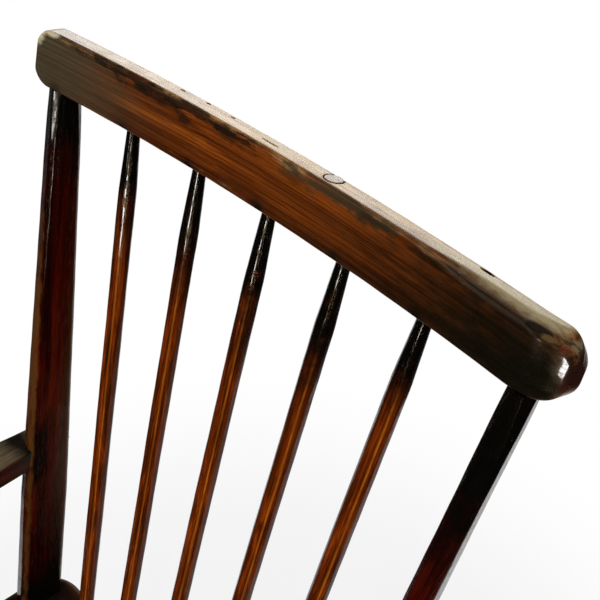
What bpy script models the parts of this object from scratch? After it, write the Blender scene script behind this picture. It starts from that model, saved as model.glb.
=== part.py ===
"""A stick armchair with a thick, gently bowed crest rail, made piece by piece.

Metres, +Z up. The front of the chair faces -Y, and left and right are those of someone who stands in
front of it and looks at it. Every piece is drawn with Y zero on the line where the back posts enter the
seat, and an empty then carries the whole chair so that the middle of its footprint is at the origin.
A bar, such as a post, a stick or a leg, is a row of rings along a straight axis. The same rings, grown
by the fitting gap, cut the hole or the housing that takes the bar.
"""

import math
from collections import namedtuple

import bmesh
import bpy
from mathutils import Vector

# Fits: the space round a tenon or under a shoulder, and how far a cut runs past the face it enters
FIT_GAP = 0.0003
CUT_OVERRUN = 0.004

# Seat: one plank with a shallow dish
SEAT_HEIGHT = 0.415
SEAT_THICKNESS = 0.036
SEAT_DEPTH = 0.404
SEAT_BACK_WIDTH = 0.462
SEAT_FRONT_WIDTH = 0.548
SEAT_BACK_MARGIN = 0.039
SEAT_CORNER_RADIUS = 0.046
SEAT_FRONT_BOW = 0.016
SEAT_EDGE_ROUND = 0.006
DISH_DEPTH = 0.007
DISH_WIDTH = 0.340
DISH_LENGTH = 0.250

# Back: how it leans, how far the rail stands above the seat, and where its members spread
BACK_TILT = math.radians(21.0)
BACK_RISE = 0.610
POST_SPAN_AT_RAIL = 0.521
POST_SPAN_AT_SEAT = 0.4235
STICK_COUNT = 5
STICK_PITCH_AT_RAIL = 0.0845
STICK_PITCH_AT_SEAT = 0.0655
STICK_SETBACK_AT_SEAT = 0.005
# Hand-bored sockets: how far each stick's foot lies to the right of its even place, in pitches
STICK_SHIFT_SHARES = (0.036, 0.0, 0.0, 0.012, 0.034)

# Crest rail: bow is the depth of its curve between the posts
RAIL_HEIGHT = 0.052
RAIL_THICKNESS = 0.030
RAIL_BOW = 0.0164
RAIL_OVERHANG = 0.028
RAIL_FRONT_ROUND = 0.0035
RAIL_WORN_ROUND = 0.010
RAIL_WORN_START = 0.150
RAIL_WORN_LENGTH = 0.070
RAIL_BACK_ROUND = 0.011
RAIL_LOWER_FRONT_ROUND = 0.002
RAIL_LOWER_REAR_ROUND = 0.004
RAIL_END_TOP_ROUND = 0.018
RAIL_END_FOOT_ROUND = 0.019
RAIL_END_FRONT_ROUND = 0.012
RAIL_END_REAR_ROUND = 0.005
# How far each corner bulges from a flat chamfer towards a full round
RAIL_BACK_FULL_SHARE = 0.25
RAIL_ROUND_FULL_SHARE = 1.0

# Plug in the top of the rail
PLUG_DIAMETER = 0.015
PLUG_DEPTH = 0.010
PLUG_OFFSET = 0.0575
PLUG_SETBACK = -0.0025

# Back posts: flat-sided, turned a little outwards to face along the arms
POST_WIDTH = 0.021
POST_DEPTH_AT_SEAT = 0.049
POST_DEPTH_AT_RAIL = 0.029
POST_FULL_HEIGHT = 0.150
POST_CHAMFER = 0.004
POST_NECK_CHAMFER = 0.0065
POST_NECK_LENGTH = 0.045
POST_TURN = math.radians(13.5)
POST_TENON_WIDTH = 0.012
POST_RAIL_TENON_DEPTH = 0.018
POST_RAIL_TENON_LENGTH = 0.032
POST_SEAT_TENON_DEPTH = 0.030
POST_SEAT_TENON_LENGTH = 0.024
POST_TENON_CHAMFER = 0.001

# Pegs
RAIL_PEG_DIAMETER = 0.007
RAIL_PEG_HEIGHT = 0.017
ARM_PEG_DIAMETER = 0.008
ARM_PEG_REACH = 0.004
PEG_PROUD = 0.001

# Back sticks: eight-sided, with a neck that runs straight into the rail
STICK_WIDTH = 0.0167
STICK_NECK_DIAMETER = 0.012
STICK_NECK_LENGTH = 0.063
STICK_NECK_STRAIGHT = 0.005
STICK_RAIL_TENON_LENGTH = 0.026
STICK_SEAT_TENON_DIAMETER = 0.013
STICK_SEAT_TENON_LENGTH = 0.024

# Arms
ARM_TOP_ABOVE_SEAT = 0.2115
ARM_THICKNESS = 0.027
ARM_LENGTH = 0.318
ARM_NECK_WIDTH = 0.034
ARM_WIDTH = 0.066
ARM_SPLAY = math.radians(9.0)
ARM_TONGUE_THICKNESS = 0.012
ARM_EDGE_ROUND = 0.0045
# Where along the arm its outline is set, and how far its width has opened there from neck to full
ARM_OUTLINE_SHARES = ((0.0, 0.0), (0.10, 0.16), (0.25, 0.38), (0.45, 0.60), (0.65, 0.84), (0.80, 1.0))
ARM_NOSE_SHARE = 0.88

# Arm supports: a stump near the front and short sticks behind it
STUMP_WIDTH = 0.027
STUMP_END_WIDTH = 0.022
STUMP_TENON_DIAMETER = 0.017
STUMP_SEAT_TENON_LENGTH = 0.025
STUMP_PLACE_SHARE = 0.80
ARM_STICK_WIDTH = 0.0155
ARM_STICK_TENON_DIAMETER = 0.011
ARM_STICK_SEAT_TENON_LENGTH = 0.022
ARM_STICK_ARM_TENON_LENGTH = 0.018
ARM_STICK_PLACE_SHARES = (0.40, 0.60)
SUPPORT_EDGE_MARGIN = 0.026
SUPPORT_RAKE = 0.012

# Legs: eight-sided, thickest a little below the seat, with tapered tenons right through it
LEG_WIDTH = 0.041
LEG_TOP_WIDTH = 0.034
LEG_FOOT_WIDTH = 0.030
LEG_SWELL_DROP = 0.110
LEG_TENON_DIAMETER = 0.027
LEG_TENON_TOP_DIAMETER = 0.025
FRONT_LEG_INSET = 0.075
FRONT_LEG_SIDE_INSET = 0.080
FRONT_LEG_RAKE = 0.056
BACK_LEG_INSET = 0.100
BACK_LEG_SIDE_INSET = 0.075
BACK_LEG_RAKE = 0.105
LEG_SPLAY = 0.066

# Wedges driven into the through tenons
WEDGE_THICKNESS = 0.0032
WEDGE_POINT_THICKNESS = 0.0010
WEDGE_SIDE_MARGIN = 0.0028
WEDGE_LENGTH = 0.018

# How finely round shapes are cut into flats
BAR_SIDES = 16
PEG_SIDES = 12
ARC_STEPS = 3
CORNER_STEPS = 5
RAIL_STATIONS = 22
RAIL_END_STATIONS = 4
NOSE_STEPS = 6

# Colours, as red, green and blue, with roughness
DARK_WOOD = ((0.060, 0.021, 0.009), 0.30)
RAIL_WOOD = ((0.110, 0.042, 0.015), 0.32)
SEAT_WOOD = ((0.040, 0.018, 0.010), 0.35)
PEG_WOOD = ((0.090, 0.050, 0.025), 0.45)
WEDGE_WOOD = ((0.100, 0.058, 0.030), 0.50)

ACROSS = Vector((1.0, 0.0, 0.0))
UPWARD = Vector((0.0, 0.0, 1.0))
# The back's own directions: along its slope, and square out of its rear face
SLOPE = Vector((0.0, math.sin(BACK_TILT), math.cos(BACK_TILT)))
REARWARD = Vector((0.0, math.cos(BACK_TILT), -math.sin(BACK_TILT)))

Station = namedtuple("Station", "along width depth flat plane", defaults=(None,))
Plane = namedtuple("Plane", "point normal")
SIDES = {"left": -1, "right": 1}


def level(height):
    """The horizontal plane at a height."""
    return Plane(Vector((0.0, 0.0, height)), UPWARD)


def blend(low, high, share):
    """The value a share of the way from low to high."""
    return low + (high - low) * share


def eased(share):
    """A share from 0 to 1 that starts and ends gently."""
    share = min(max(share, 0.0), 1.0)
    return share * share * (3.0 - 2.0 * share)


# Rings and solids


def slid_to(point, axis, plane):
    """The point moved along the axis until it lies on the plane."""
    travel = (plane.point - point).dot(plane.normal) / axis.dot(plane.normal)
    return point + axis * travel


def bar_frame(foot, head, turn=0.0):
    """The axis of a bar and its two cross directions, turned about the axis by an angle."""
    axis = (head - foot).normalized()
    width_way = (ACROSS - axis * ACROSS.dot(axis)).normalized()
    depth_way = axis.cross(width_way)
    turned_width = width_way * math.cos(turn) + depth_way * math.sin(turn)
    return axis, turned_width, axis.cross(turned_width)


def eight_sided_points(width, flat, sides=BAR_SIDES):
    """Points round a bar: a circle at flat 0 and an octagon, its flats facing out, at flat 1."""
    points = []
    for number in range(sides):
        angle = math.tau * number / sides
        octant = (angle + math.pi / 8) % (math.pi / 4) - math.pi / 8
        reach = width / 2 * blend(1.0, 1.0 / math.cos(octant), flat)
        points.append((reach * math.cos(angle), reach * math.sin(angle)))
    return points


def chamfered_points(width, depth, chamfer):
    """The eight corners of a rectangle with cut corners."""
    across, along = width / 2, depth / 2
    corner = min(chamfer, across, along)
    return [
        (across, along - corner), (across - corner, along),
        (corner - across, along), (-across, along - corner),
        (-across, corner - along), (corner - across, -along),
        (across - corner, -along), (across, corner - along),
    ]


def bar_rings(foot, head, stations, turn=0.0, grow=0.0):
    """Rings of an eight-sided or chamfered bar. A station with a depth is a chamfered rectangle,
    whose flat is its chamfer, and one without is round to octagonal."""
    axis, width_way, depth_way = bar_frame(foot, head, turn)
    rings = []
    for station in stations:
        width = station.width + 2 * grow
        if station.depth is None:
            section = eight_sided_points(width, station.flat)
        else:
            section = chamfered_points(width, station.depth + 2 * grow, station.flat)
        centre = foot + axis * station.along
        ring = [centre + width_way * x + depth_way * y for x, y in section]
        if station.plane:
            ring = [slid_to(point, axis, station.plane) for point in ring]
        rings.append(ring)
    return rings


def round_rings(start, end, diameter, sides=PEG_SIDES, grow=0.0):
    """Two rings of a plain round peg."""
    axis, width_way, depth_way = bar_frame(start, end) if abs((end - start).normalized().x) < 0.9 else (
        (end - start).normalized(), UPWARD, (end - start).normalized().cross(UPWARD)
    )
    reach = diameter / 2 + grow
    turns = [math.tau * number / sides for number in range(sides)]
    return [
        [centre + (width_way * math.cos(a) + depth_way * math.sin(a)) * reach for a in turns]
        for centre in (start, end)
    ]


def loft(shape, rings):
    """Adds one closed solid: sides between neighbouring rings, and a flat face on each end."""
    loops = [[shape.verts.new(point) for point in ring] for ring in rings]
    for low, high in zip(loops, loops[1:]):
        for here in range(len(low)):
            after = (here + 1) % len(low)
            shape.faces.new((low[here], low[after], high[after], high[here]))
    shape.faces.new(list(reversed(loops[0])))
    shape.faces.new(loops[-1])


def finish_material(name, finish):
    """A Principled material with the piece's own colour and roughness."""
    colour, roughness = finish
    material = bpy.data.materials.new(name)
    material.use_nodes = True
    shader = material.node_tree.nodes["Principled BSDF"]
    shader.inputs["Base Color"].default_value = (*colour, 1.0)
    shader.inputs["Roughness"].default_value = roughness
    shader.inputs["Metallic"].default_value = 0.0
    return material


def solid(name, ring_lists, finish, carrier):
    """One object from one or more lofts, with its origin at the middle of its first ring."""
    shape = bmesh.new()
    for rings in ring_lists:
        loft(shape, rings)
    bmesh.ops.recalc_face_normals(shape, faces=shape.faces)
    first = ring_lists[0][0]
    origin = sum(first, Vector()) / len(first)
    bmesh.ops.translate(shape, vec=-origin, verts=shape.verts)
    mesh = bpy.data.meshes.new(name)
    shape.to_mesh(mesh)
    shape.free()
    piece = bpy.data.objects.new(name, mesh)
    bpy.context.scene.collection.objects.link(piece)
    piece.location = origin
    piece.parent = carrier
    if finish:
        mesh.materials.append(finish_material(name, finish))
    return piece


def cut(piece, name, ring_lists, carrier):
    """Takes the space of the lofts out of the piece with one Boolean."""
    cutter = solid(name, ring_lists, None, carrier)
    cutter.hide_render = True
    cutter.display_type = "WIRE"
    modifier = piece.modifiers.new(name, "BOOLEAN")
    modifier.operation = "DIFFERENCE"
    modifier.solver = "EXACT"
    modifier.object = cutter


# The back's geometry


def rail_origin():
    """The middle of the rail's underside, on the straight line between the post centres."""
    return Vector((0.0, 0.0, SEAT_HEIGHT)) + SLOPE * BACK_RISE


def rail_radius():
    """The radius of the rail's curve, from its span and its bow."""
    half = POST_SPAN_AT_RAIL / 2
    return (half * half + RAIL_BOW * RAIL_BOW) / (2 * RAIL_BOW)


def rail_frame(angle):
    """A point on the curve of the rail's underside, and the way out of its rear face there."""
    reach = rail_radius()
    drop = RAIL_BOW - reach * (1.0 - math.cos(angle))
    point = rail_origin() + ACROSS * (reach * math.sin(angle)) + REARWARD * drop
    return point, ACROSS * math.sin(angle) + REARWARD * math.cos(angle)


def rail_point(across, upward=0.0, rearward=0.0):
    """A point of the rail, by its distance across, up its face and towards its rear."""
    point, outward = rail_frame(math.asin(across / rail_radius()))
    return point + SLOPE * upward + outward * rearward


def off_face(grow):
    """How far outside a face a bar's shoulder stops, or a cutter that is grown starts."""
    return CUT_OVERRUN if grow else FIT_GAP


def under_rail(grow=0.0):
    """The plane just below the rail where its members' shoulders, or their cutters, lie."""
    return Plane(rail_origin() - SLOPE * off_face(grow), SLOPE)


def over_seat(grow=0.0):
    """The plane just above the seat where shoulders, or their cutters, lie."""
    return level(SEAT_HEIGHT + off_face(grow))


def seat_point(across, rearward=0.0, height=SEAT_HEIGHT):
    """A point over the seat, by its distance across and behind the line of the posts."""
    return Vector((across, rearward, height))


def post_ends(side):
    """Where a post's axis meets the seat and the rail."""
    return seat_point(side * POST_SPAN_AT_SEAT / 2), rail_point(side * POST_SPAN_AT_RAIL / 2)


def post_depth(along, length):
    """A post's depth: full above the seat, then narrowing evenly to the rail."""
    share = (along - POST_FULL_HEIGHT) / (length - POST_FULL_HEIGHT)
    return blend(POST_DEPTH_AT_SEAT, POST_DEPTH_AT_RAIL, min(max(share, 0.0), 1.0))


def post_body_stations(length):
    """Stations of the post between its shoulders."""
    stations = [Station(0.0, POST_WIDTH, POST_DEPTH_AT_SEAT, POST_CHAMFER, over_seat())]
    neck = length - POST_NECK_LENGTH
    for along in (POST_FULL_HEIGHT, blend(POST_FULL_HEIGHT, neck, 0.5), neck):
        stations.append(Station(along, POST_WIDTH, post_depth(along, length), POST_CHAMFER))
    stations.append(Station(length, POST_WIDTH, POST_DEPTH_AT_RAIL, POST_NECK_CHAMFER, under_rail()))
    return stations


def post_tenon(start, end, depth, plane):
    """Stations of a tenon from the shoulder's plane to its far end, nearer one first."""
    near = Station(start, POST_TENON_WIDTH, depth, POST_TENON_CHAMFER, plane)
    return near, Station(end, POST_TENON_WIDTH, depth, POST_TENON_CHAMFER)


def stick_ends(number):
    """Where a back stick's axis meets the seat and the rail, counted from the left."""
    place = number - (STICK_COUNT + 1) / 2
    foot = (place + STICK_SHIFT_SHARES[number - 1]) * STICK_PITCH_AT_SEAT
    return seat_point(foot, STICK_SETBACK_AT_SEAT), rail_point(place * STICK_PITCH_AT_RAIL)


# Crest rail


def rounded_inset(from_end, radius):
    """How far a rounded end has drawn in, at a distance from its tip."""
    if from_end >= radius:
        return 0.0
    return radius - math.sqrt(radius * radius - (radius - from_end) ** 2)


def rail_half_length():
    """Half the rail's length along its curve."""
    return rail_radius() * math.asin(POST_SPAN_AT_RAIL / 2 / rail_radius()) + RAIL_OVERHANG


def rail_section(place):
    """The rail's outline at a place along its curve, as distances rearward and upward."""
    from_end = rail_half_length() - abs(place)
    worn = eased((place - RAIL_WORN_START) / RAIL_WORN_LENGTH)
    front_round = blend(RAIL_FRONT_ROUND, RAIL_WORN_ROUND, worn)
    low = rounded_inset(from_end, RAIL_END_FOOT_ROUND)
    high = RAIL_HEIGHT - rounded_inset(from_end, RAIL_END_TOP_ROUND)
    front = rounded_inset(from_end, RAIL_END_FRONT_ROUND) - RAIL_THICKNESS / 2
    rear = RAIL_THICKNESS / 2 - rounded_inset(from_end, RAIL_END_REAR_ROUND)
    largest = min(rear - front, high - low) * 0.45
    corners = (
        (front, low, 1, 1, RAIL_LOWER_FRONT_ROUND, RAIL_ROUND_FULL_SHARE, math.pi),
        (rear, low, -1, 1, RAIL_LOWER_REAR_ROUND, RAIL_ROUND_FULL_SHARE, 1.5 * math.pi),
        (rear, high, -1, -1, RAIL_BACK_ROUND, RAIL_BACK_FULL_SHARE, 0.0),
        (front, high, 1, -1, front_round, RAIL_ROUND_FULL_SHARE, 0.5 * math.pi),
    )
    points = []
    for x, y, inward, upward, radius, full_share, start in corners:
        reach = min(radius, largest)
        centre = Vector((x + inward * reach, y + upward * reach))
        first, last = (reach * Vector((math.cos(a), math.sin(a))) for a in (start, start + 0.5 * math.pi))
        for step in range(ARC_STEPS + 1):
            share = step / ARC_STEPS
            angle = start + 0.5 * math.pi * share
            arc = reach * Vector((math.cos(angle), math.sin(angle)))
            points.append(centre + first.lerp(last, share).lerp(arc, full_share))
    return points


def rail_stations():
    """Distances along the rail's curve where it is outlined, closer together at the rounded ends."""
    half = rail_half_length()
    round_length = max(RAIL_END_TOP_ROUND, RAIL_END_FOOT_ROUND, RAIL_END_FRONT_ROUND)
    ends = [
        half - round_length * (1.0 - math.cos(0.5 * math.pi * step / RAIL_END_STATIONS))
        for step in range(RAIL_END_STATIONS)
    ]
    plain = half - round_length
    middle = [blend(-plain, plain, step / RAIL_STATIONS) for step in range(RAIL_STATIONS + 1)]
    return [-place for place in ends] + middle + list(reversed(ends))


def rail_rings():
    """Rings across the rail, from its left tip to its right."""
    rings = []
    for place in rail_stations():
        point, outward = rail_frame(place / rail_radius())
        section = rail_section(place)
        rings.append([point + outward * rear + SLOPE * up for rear, up in section])
    return rings


def plug_rings(grow=0.0):
    """The round plug, flush with the rail's top, or the hole for it."""
    top = rail_point(PLUG_OFFSET, RAIL_HEIGHT + (CUT_OVERRUN if grow else 0.0), PLUG_SETBACK)
    foot = rail_point(PLUG_OFFSET, RAIL_HEIGHT - PLUG_DEPTH - grow, PLUG_SETBACK)
    return round_rings(foot, top, PLUG_DIAMETER, BAR_SIDES, grow)


def rail_peg_rings(side, grow=0.0):
    """A peg from the rail's rear face through the post's tenon, or the hole for it."""
    across = side * POST_SPAN_AT_RAIL / 2
    rear = RAIL_THICKNESS / 2 + (CUT_OVERRUN if grow else PEG_PROUD)
    front = -POST_RAIL_TENON_DEPTH / 2 - POST_TENON_CHAMFER - grow
    return round_rings(
        rail_point(across, RAIL_PEG_HEIGHT, front),
        rail_point(across, RAIL_PEG_HEIGHT, rear),
        RAIL_PEG_DIAMETER, PEG_SIDES, grow,
    )


def post_rings(side, grow=0.0, part="whole"):
    """The rings of a post, or of one part of it that cuts a neighbour: its rail tenon, its seat
    tenon or its body."""
    foot, head = post_ends(side)
    length = (head - foot).length
    rail_end, seat_end = length + POST_RAIL_TENON_LENGTH + grow, -POST_SEAT_TENON_LENGTH - grow
    top = post_tenon(length, rail_end, POST_RAIL_TENON_DEPTH, under_rail(grow))
    bottom = post_tenon(0.0, seat_end, POST_SEAT_TENON_DEPTH, over_seat(grow))
    stations = {
        "whole": [bottom[1], bottom[0], *post_body_stations(length), *top],
        "rail tenon": list(top),
        "seat tenon": [bottom[1], bottom[0]],
        "body": post_body_stations(length),
    }[part]
    return bar_rings(foot, head, stations, turn=side * POST_TURN, grow=grow)


def back_stick_rings(number, grow=0.0, part="whole"):
    """The rings of a back stick, or of one of its tenons as a cutter."""
    foot, head = stick_ends(number)
    length = (head - foot).length
    lower = [
        Station(-STICK_SEAT_TENON_LENGTH - grow, STICK_SEAT_TENON_DIAMETER, None, 0.0),
        Station(0.0, STICK_SEAT_TENON_DIAMETER, None, 0.0, over_seat(grow)),
    ]
    neck = length - STICK_NECK_STRAIGHT
    upper = [
        Station(neck, STICK_NECK_DIAMETER, None, 0.0),
        Station(length + STICK_RAIL_TENON_LENGTH + grow, STICK_NECK_DIAMETER, None, 0.0),
    ]
    swell = length - STICK_NECK_LENGTH
    body = [
        Station(0.0, STICK_WIDTH, None, 1.0, over_seat()),
        Station(length / 2, STICK_WIDTH, None, 1.0),
        Station(swell, STICK_WIDTH, None, 1.0),
    ]
    stations = {"whole": lower + body + upper, "rail tenon": upper, "seat tenon": lower}[part]
    return bar_rings(foot, head, stations, grow=grow)


# Seat


def seat_front():
    """How far the seat's front edge, before its bow, lies from the line of the posts."""
    return SEAT_BACK_MARGIN - SEAT_DEPTH


def seat_half_width(rearward):
    """Half the seat's width at a distance behind the line of the posts."""
    share = (SEAT_BACK_MARGIN - rearward) / SEAT_DEPTH
    return blend(SEAT_BACK_WIDTH, SEAT_FRONT_WIDTH, share) / 2


def rounded_outline(corners, radius):
    """A closed outline through corners, each rounded by an arc of the radius."""
    points = []
    for here, corner in enumerate(corners):
        before = (corners[here - 1] - corner).normalized()
        after = (corners[(here + 1) % len(corners)] - corner).normalized()
        half_angle = before.angle(after) / 2
        centre = corner + (before + after).normalized() * (radius / math.sin(half_angle))
        first = corner + before * (radius / math.tan(half_angle)) - centre
        last = corner + after * (radius / math.tan(half_angle)) - centre
        sweep = first.angle_signed(last)
        for step in range(CORNER_STEPS + 1):
            turn = -sweep * step / CORNER_STEPS
            x = first.x * math.cos(turn) - first.y * math.sin(turn)
            y = first.x * math.sin(turn) + first.y * math.cos(turn)
            points.append(centre + Vector((x, y)))
    return points


def seat_outline():
    """The seat from above: straight back and sides, rounded corners and a front that bows out."""
    front, back = seat_front(), SEAT_BACK_MARGIN
    front_half, back_half = SEAT_FRONT_WIDTH / 2, SEAT_BACK_WIDTH / 2
    corners = [Vector(p) for p in ((-front_half, front), (front_half, front), (back_half, back), (-back_half, back))]
    points = rounded_outline(corners, SEAT_CORNER_RADIUS)
    filled = []
    for here, point in enumerate(points):
        following = points[(here + 1) % len(points)]
        steps = max(1, round((following - point).length / SEAT_CORNER_RADIUS))
        filled.extend(point.lerp(following, step / steps) for step in range(steps))
    for point in filled:
        forward = eased((back - point.y) / SEAT_DEPTH)
        point.y -= SEAT_FRONT_BOW * forward * (1.0 - (point.x / front_half) ** 2)
    return filled


def inset_outline(points, distance):
    """The outline drawn in by a distance, square to each of its edges."""
    drawn = []
    for here, point in enumerate(points):
        before = (point - points[here - 1]).normalized()
        after = (points[(here + 1) % len(points)] - point).normalized()
        first, second = Vector((-before.y, before.x)), Vector((-after.y, after.x))
        drawn.append(point + (first + second) * (distance / (1.0 + first.dot(second))))
    return drawn


def flat_ring(points, height):
    """An outline lifted to a height."""
    return [Vector((point.x, point.y, height)) for point in points]


def edge_rings(outline, low, high, radius):
    """Rings of a board whose edges are rounded above and below."""
    quarter = [0.5 * math.pi * step / 2 for step in range(3)]
    lower = [(radius * (1.0 - math.sin(a)), low + radius * (1.0 - math.cos(a))) for a in quarter]
    upper = [(inset, high - (height - low)) for inset, height in reversed(lower)]
    return [flat_ring(inset_outline(outline, inset), height) for inset, height in lower + upper]


def dish_drop(point, middle):
    """How far the dish lies below the seat's top at a point."""
    reach = (point.x / (DISH_WIDTH / 2)) ** 2 + ((point.y - middle.y) / (DISH_LENGTH / 2)) ** 2
    return DISH_DEPTH * (1.0 - reach) ** 2 if reach < 1.0 else 0.0


def seat_rings():
    """Rings up the seat's edge and then in over its dished top."""
    outline = seat_outline()
    rings = edge_rings(outline, SEAT_HEIGHT - SEAT_THICKNESS, SEAT_HEIGHT, SEAT_EDGE_ROUND)
    middle = Vector((0.0, seat_front() + SEAT_DEPTH / 2))
    rim = inset_outline(outline, SEAT_EDGE_ROUND)
    for share in (0.75, 0.60, 0.45, 0.30, 0.12):
        ring = [middle.lerp(point, share) for point in rim]
        rings.append([Vector((p.x, p.y, SEAT_HEIGHT - dish_drop(p, middle))) for p in ring])
    return rings


# Arms and their supports


def arm_top():
    """The height of the arms' upper faces."""
    return SEAT_HEIGHT + ARM_TOP_ABOVE_SEAT


def arm_underside():
    """The height of the arms' lower faces."""
    return arm_top() - ARM_THICKNESS


def under_arm(grow=0.0):
    """The plane just below the arms where their supports' shoulders, or their cutters, lie."""
    return level(arm_underside() - off_face(grow))


def post_plan_point(side, width_share, depth_share, height):
    """A point of a post's section where a horizontal plane cuts it. The shares count its half
    width towards the chair's outside and its half depth towards the rear."""
    foot, head = post_ends(side)
    axis, width_way, depth_way = bar_frame(foot, head, side * POST_TURN)
    along = (height - SEAT_HEIGHT) / axis.z
    depth = post_depth(along, (head - foot).length)
    point = foot + width_way * (side * width_share * POST_WIDTH / 2)
    return slid_to(point + depth_way * (depth_share * depth / 2), axis, level(height))


def arm_start(side):
    """Where the arm's inner edge meets the front of its post, at the post's inner corner."""
    return post_plan_point(side, -1.0, -1.0, arm_top())


def arm_half_width(share):
    """Half the arm's width, before its nose, at a share of its length from the post."""
    opened = 1.0
    for (near, low), (far, high) in zip(ARM_OUTLINE_SHARES, ARM_OUTLINE_SHARES[1:]):
        if near <= share <= far:
            opened = blend(low, high, (share - near) / (far - near))
    return blend(ARM_NECK_WIDTH, ARM_WIDTH, opened) / 2


def arm_middle(side, share):
    """A point on the arm's middle line."""
    start = arm_start(side)
    forward = ARM_LENGTH * share
    across = start.x + side * (ARM_NECK_WIDTH / 2 + forward * math.tan(ARM_SPLAY))
    return Vector((across, start.y - forward))


def arm_outline(side):
    """The arm from above: a neck at the post, a widening board, a round nose and a rear tongue
    beside the post."""
    shares = [near for near, _ in ARM_OUTLINE_SHARES] + [ARM_NOSE_SHARE]
    profile = [(share, arm_half_width(share)) for share in shares]
    for step in range(1, NOSE_STEPS):
        angle = 0.5 * math.pi * step / NOSE_STEPS
        share = blend(ARM_NOSE_SHARE, 1.0, math.sin(angle))
        profile.append((share, arm_half_width(1.0) * math.cos(angle)))
    inner = [arm_middle(side, share) - Vector((side * half, 0.0)) for share, half in profile]
    outer = [arm_middle(side, share) + Vector((side * half, 0.0)) for share, half in reversed(profile)]
    tip = arm_middle(side, 1.0)
    core = post_plan_point(side, 0.0, 0.0, arm_top())
    rear = post_plan_point(side, 1.0, 0.9, arm_top())
    tongue = rear.x + side * ARM_TONGUE_THICKNESS
    hidden = [Vector((tongue, rear.y)), Vector((core.x, rear.y)), Vector((core.x, core.y))]
    points = hidden + inner + [tip] + outer
    return points if side > 0 else list(reversed(points))


def arm_peg_rings(side, grow=0.0):
    """A peg through the arm's tongue into the post, or the hole for it."""
    height = blend(arm_underside(), arm_top(), 0.5)
    core = post_plan_point(side, 0.0, 0.0, height)
    rear = post_plan_point(side, 1.0, 0.9, arm_top())
    outside = rear.x + side * (ARM_TONGUE_THICKNESS + (CUT_OVERRUN if grow else PEG_PROUD))
    inside = core.x - side * (ARM_PEG_REACH + grow)
    return round_rings(
        Vector((inside, core.y, height)), Vector((outside, core.y, height)),
        ARM_PEG_DIAMETER, PEG_SIDES, grow,
    )


def support_ends(side, share):
    """Where an arm support's axis meets the seat and the arm's underside."""
    head = arm_middle(side, share)
    rearward = head.y + SUPPORT_RAKE
    foot = side * (seat_half_width(rearward) - SUPPORT_EDGE_MARGIN)
    return seat_point(foot, rearward), Vector((head.x, head.y, arm_underside()))


def arm_stick_rings(side, share, grow=0.0, part="whole"):
    """The rings of a short stick under an arm, or of one of its tenons as a cutter."""
    foot, head = support_ends(side, share)
    length = (head - foot).length
    lower = [
        Station(-ARM_STICK_SEAT_TENON_LENGTH - grow, ARM_STICK_TENON_DIAMETER, None, 0.0),
        Station(0.0, ARM_STICK_TENON_DIAMETER, None, 0.0, over_seat(grow)),
    ]
    upper = [
        Station(length, ARM_STICK_TENON_DIAMETER, None, 0.0, under_arm(grow)),
        Station(length + ARM_STICK_ARM_TENON_LENGTH + grow, ARM_STICK_TENON_DIAMETER, None, 0.0),
    ]
    body = [
        Station(0.0, ARM_STICK_WIDTH, None, 1.0, over_seat()),
        Station(length, ARM_STICK_WIDTH, None, 1.0, under_arm()),
    ]
    stations = {"whole": lower + body + upper, "arm tenon": upper, "seat tenon": lower}[part]
    return bar_rings(foot, head, stations, grow=grow)


def stump_rings(side, grow=0.0, part="whole"):
    """The rings of an arm stump, or of one of its tenons as a cutter."""
    foot, head = support_ends(side, STUMP_PLACE_SHARE)
    length = (head - foot).length
    through = level(arm_top() + (CUT_OVERRUN if grow else 0.0))
    lower = [
        Station(-STUMP_SEAT_TENON_LENGTH - grow, STUMP_TENON_DIAMETER, None, 0.0),
        Station(0.0, STUMP_TENON_DIAMETER, None, 0.0, over_seat(grow)),
    ]
    upper = [
        Station(length, STUMP_TENON_DIAMETER, None, 0.0, under_arm(grow)),
        Station(length, STUMP_TENON_DIAMETER, None, 0.0, through),
    ]
    body = [
        Station(0.0, STUMP_END_WIDTH, None, 1.0, over_seat()),
        Station(length / 2, STUMP_WIDTH, None, 1.0),
        Station(length, STUMP_END_WIDTH, None, 1.0, under_arm()),
    ]
    stations = {"whole": lower + body + upper, "arm tenon": upper, "seat tenon": lower}[part]
    return bar_rings(foot, head, stations, grow=grow)


# Legs and wedges


def leg_ends(side, back):
    """A leg's foot on the floor and its head on the top of the seat."""
    if back:
        rearward, inset, rake = SEAT_BACK_MARGIN - BACK_LEG_INSET, BACK_LEG_SIDE_INSET, BACK_LEG_RAKE
    else:
        rearward, inset, rake = seat_front() + FRONT_LEG_INSET, FRONT_LEG_SIDE_INSET, -FRONT_LEG_RAKE
    across = side * (seat_half_width(rearward) - inset)
    return Vector((across + side * LEG_SPLAY, rearward + rake, 0.0)), seat_point(across, rearward)


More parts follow.
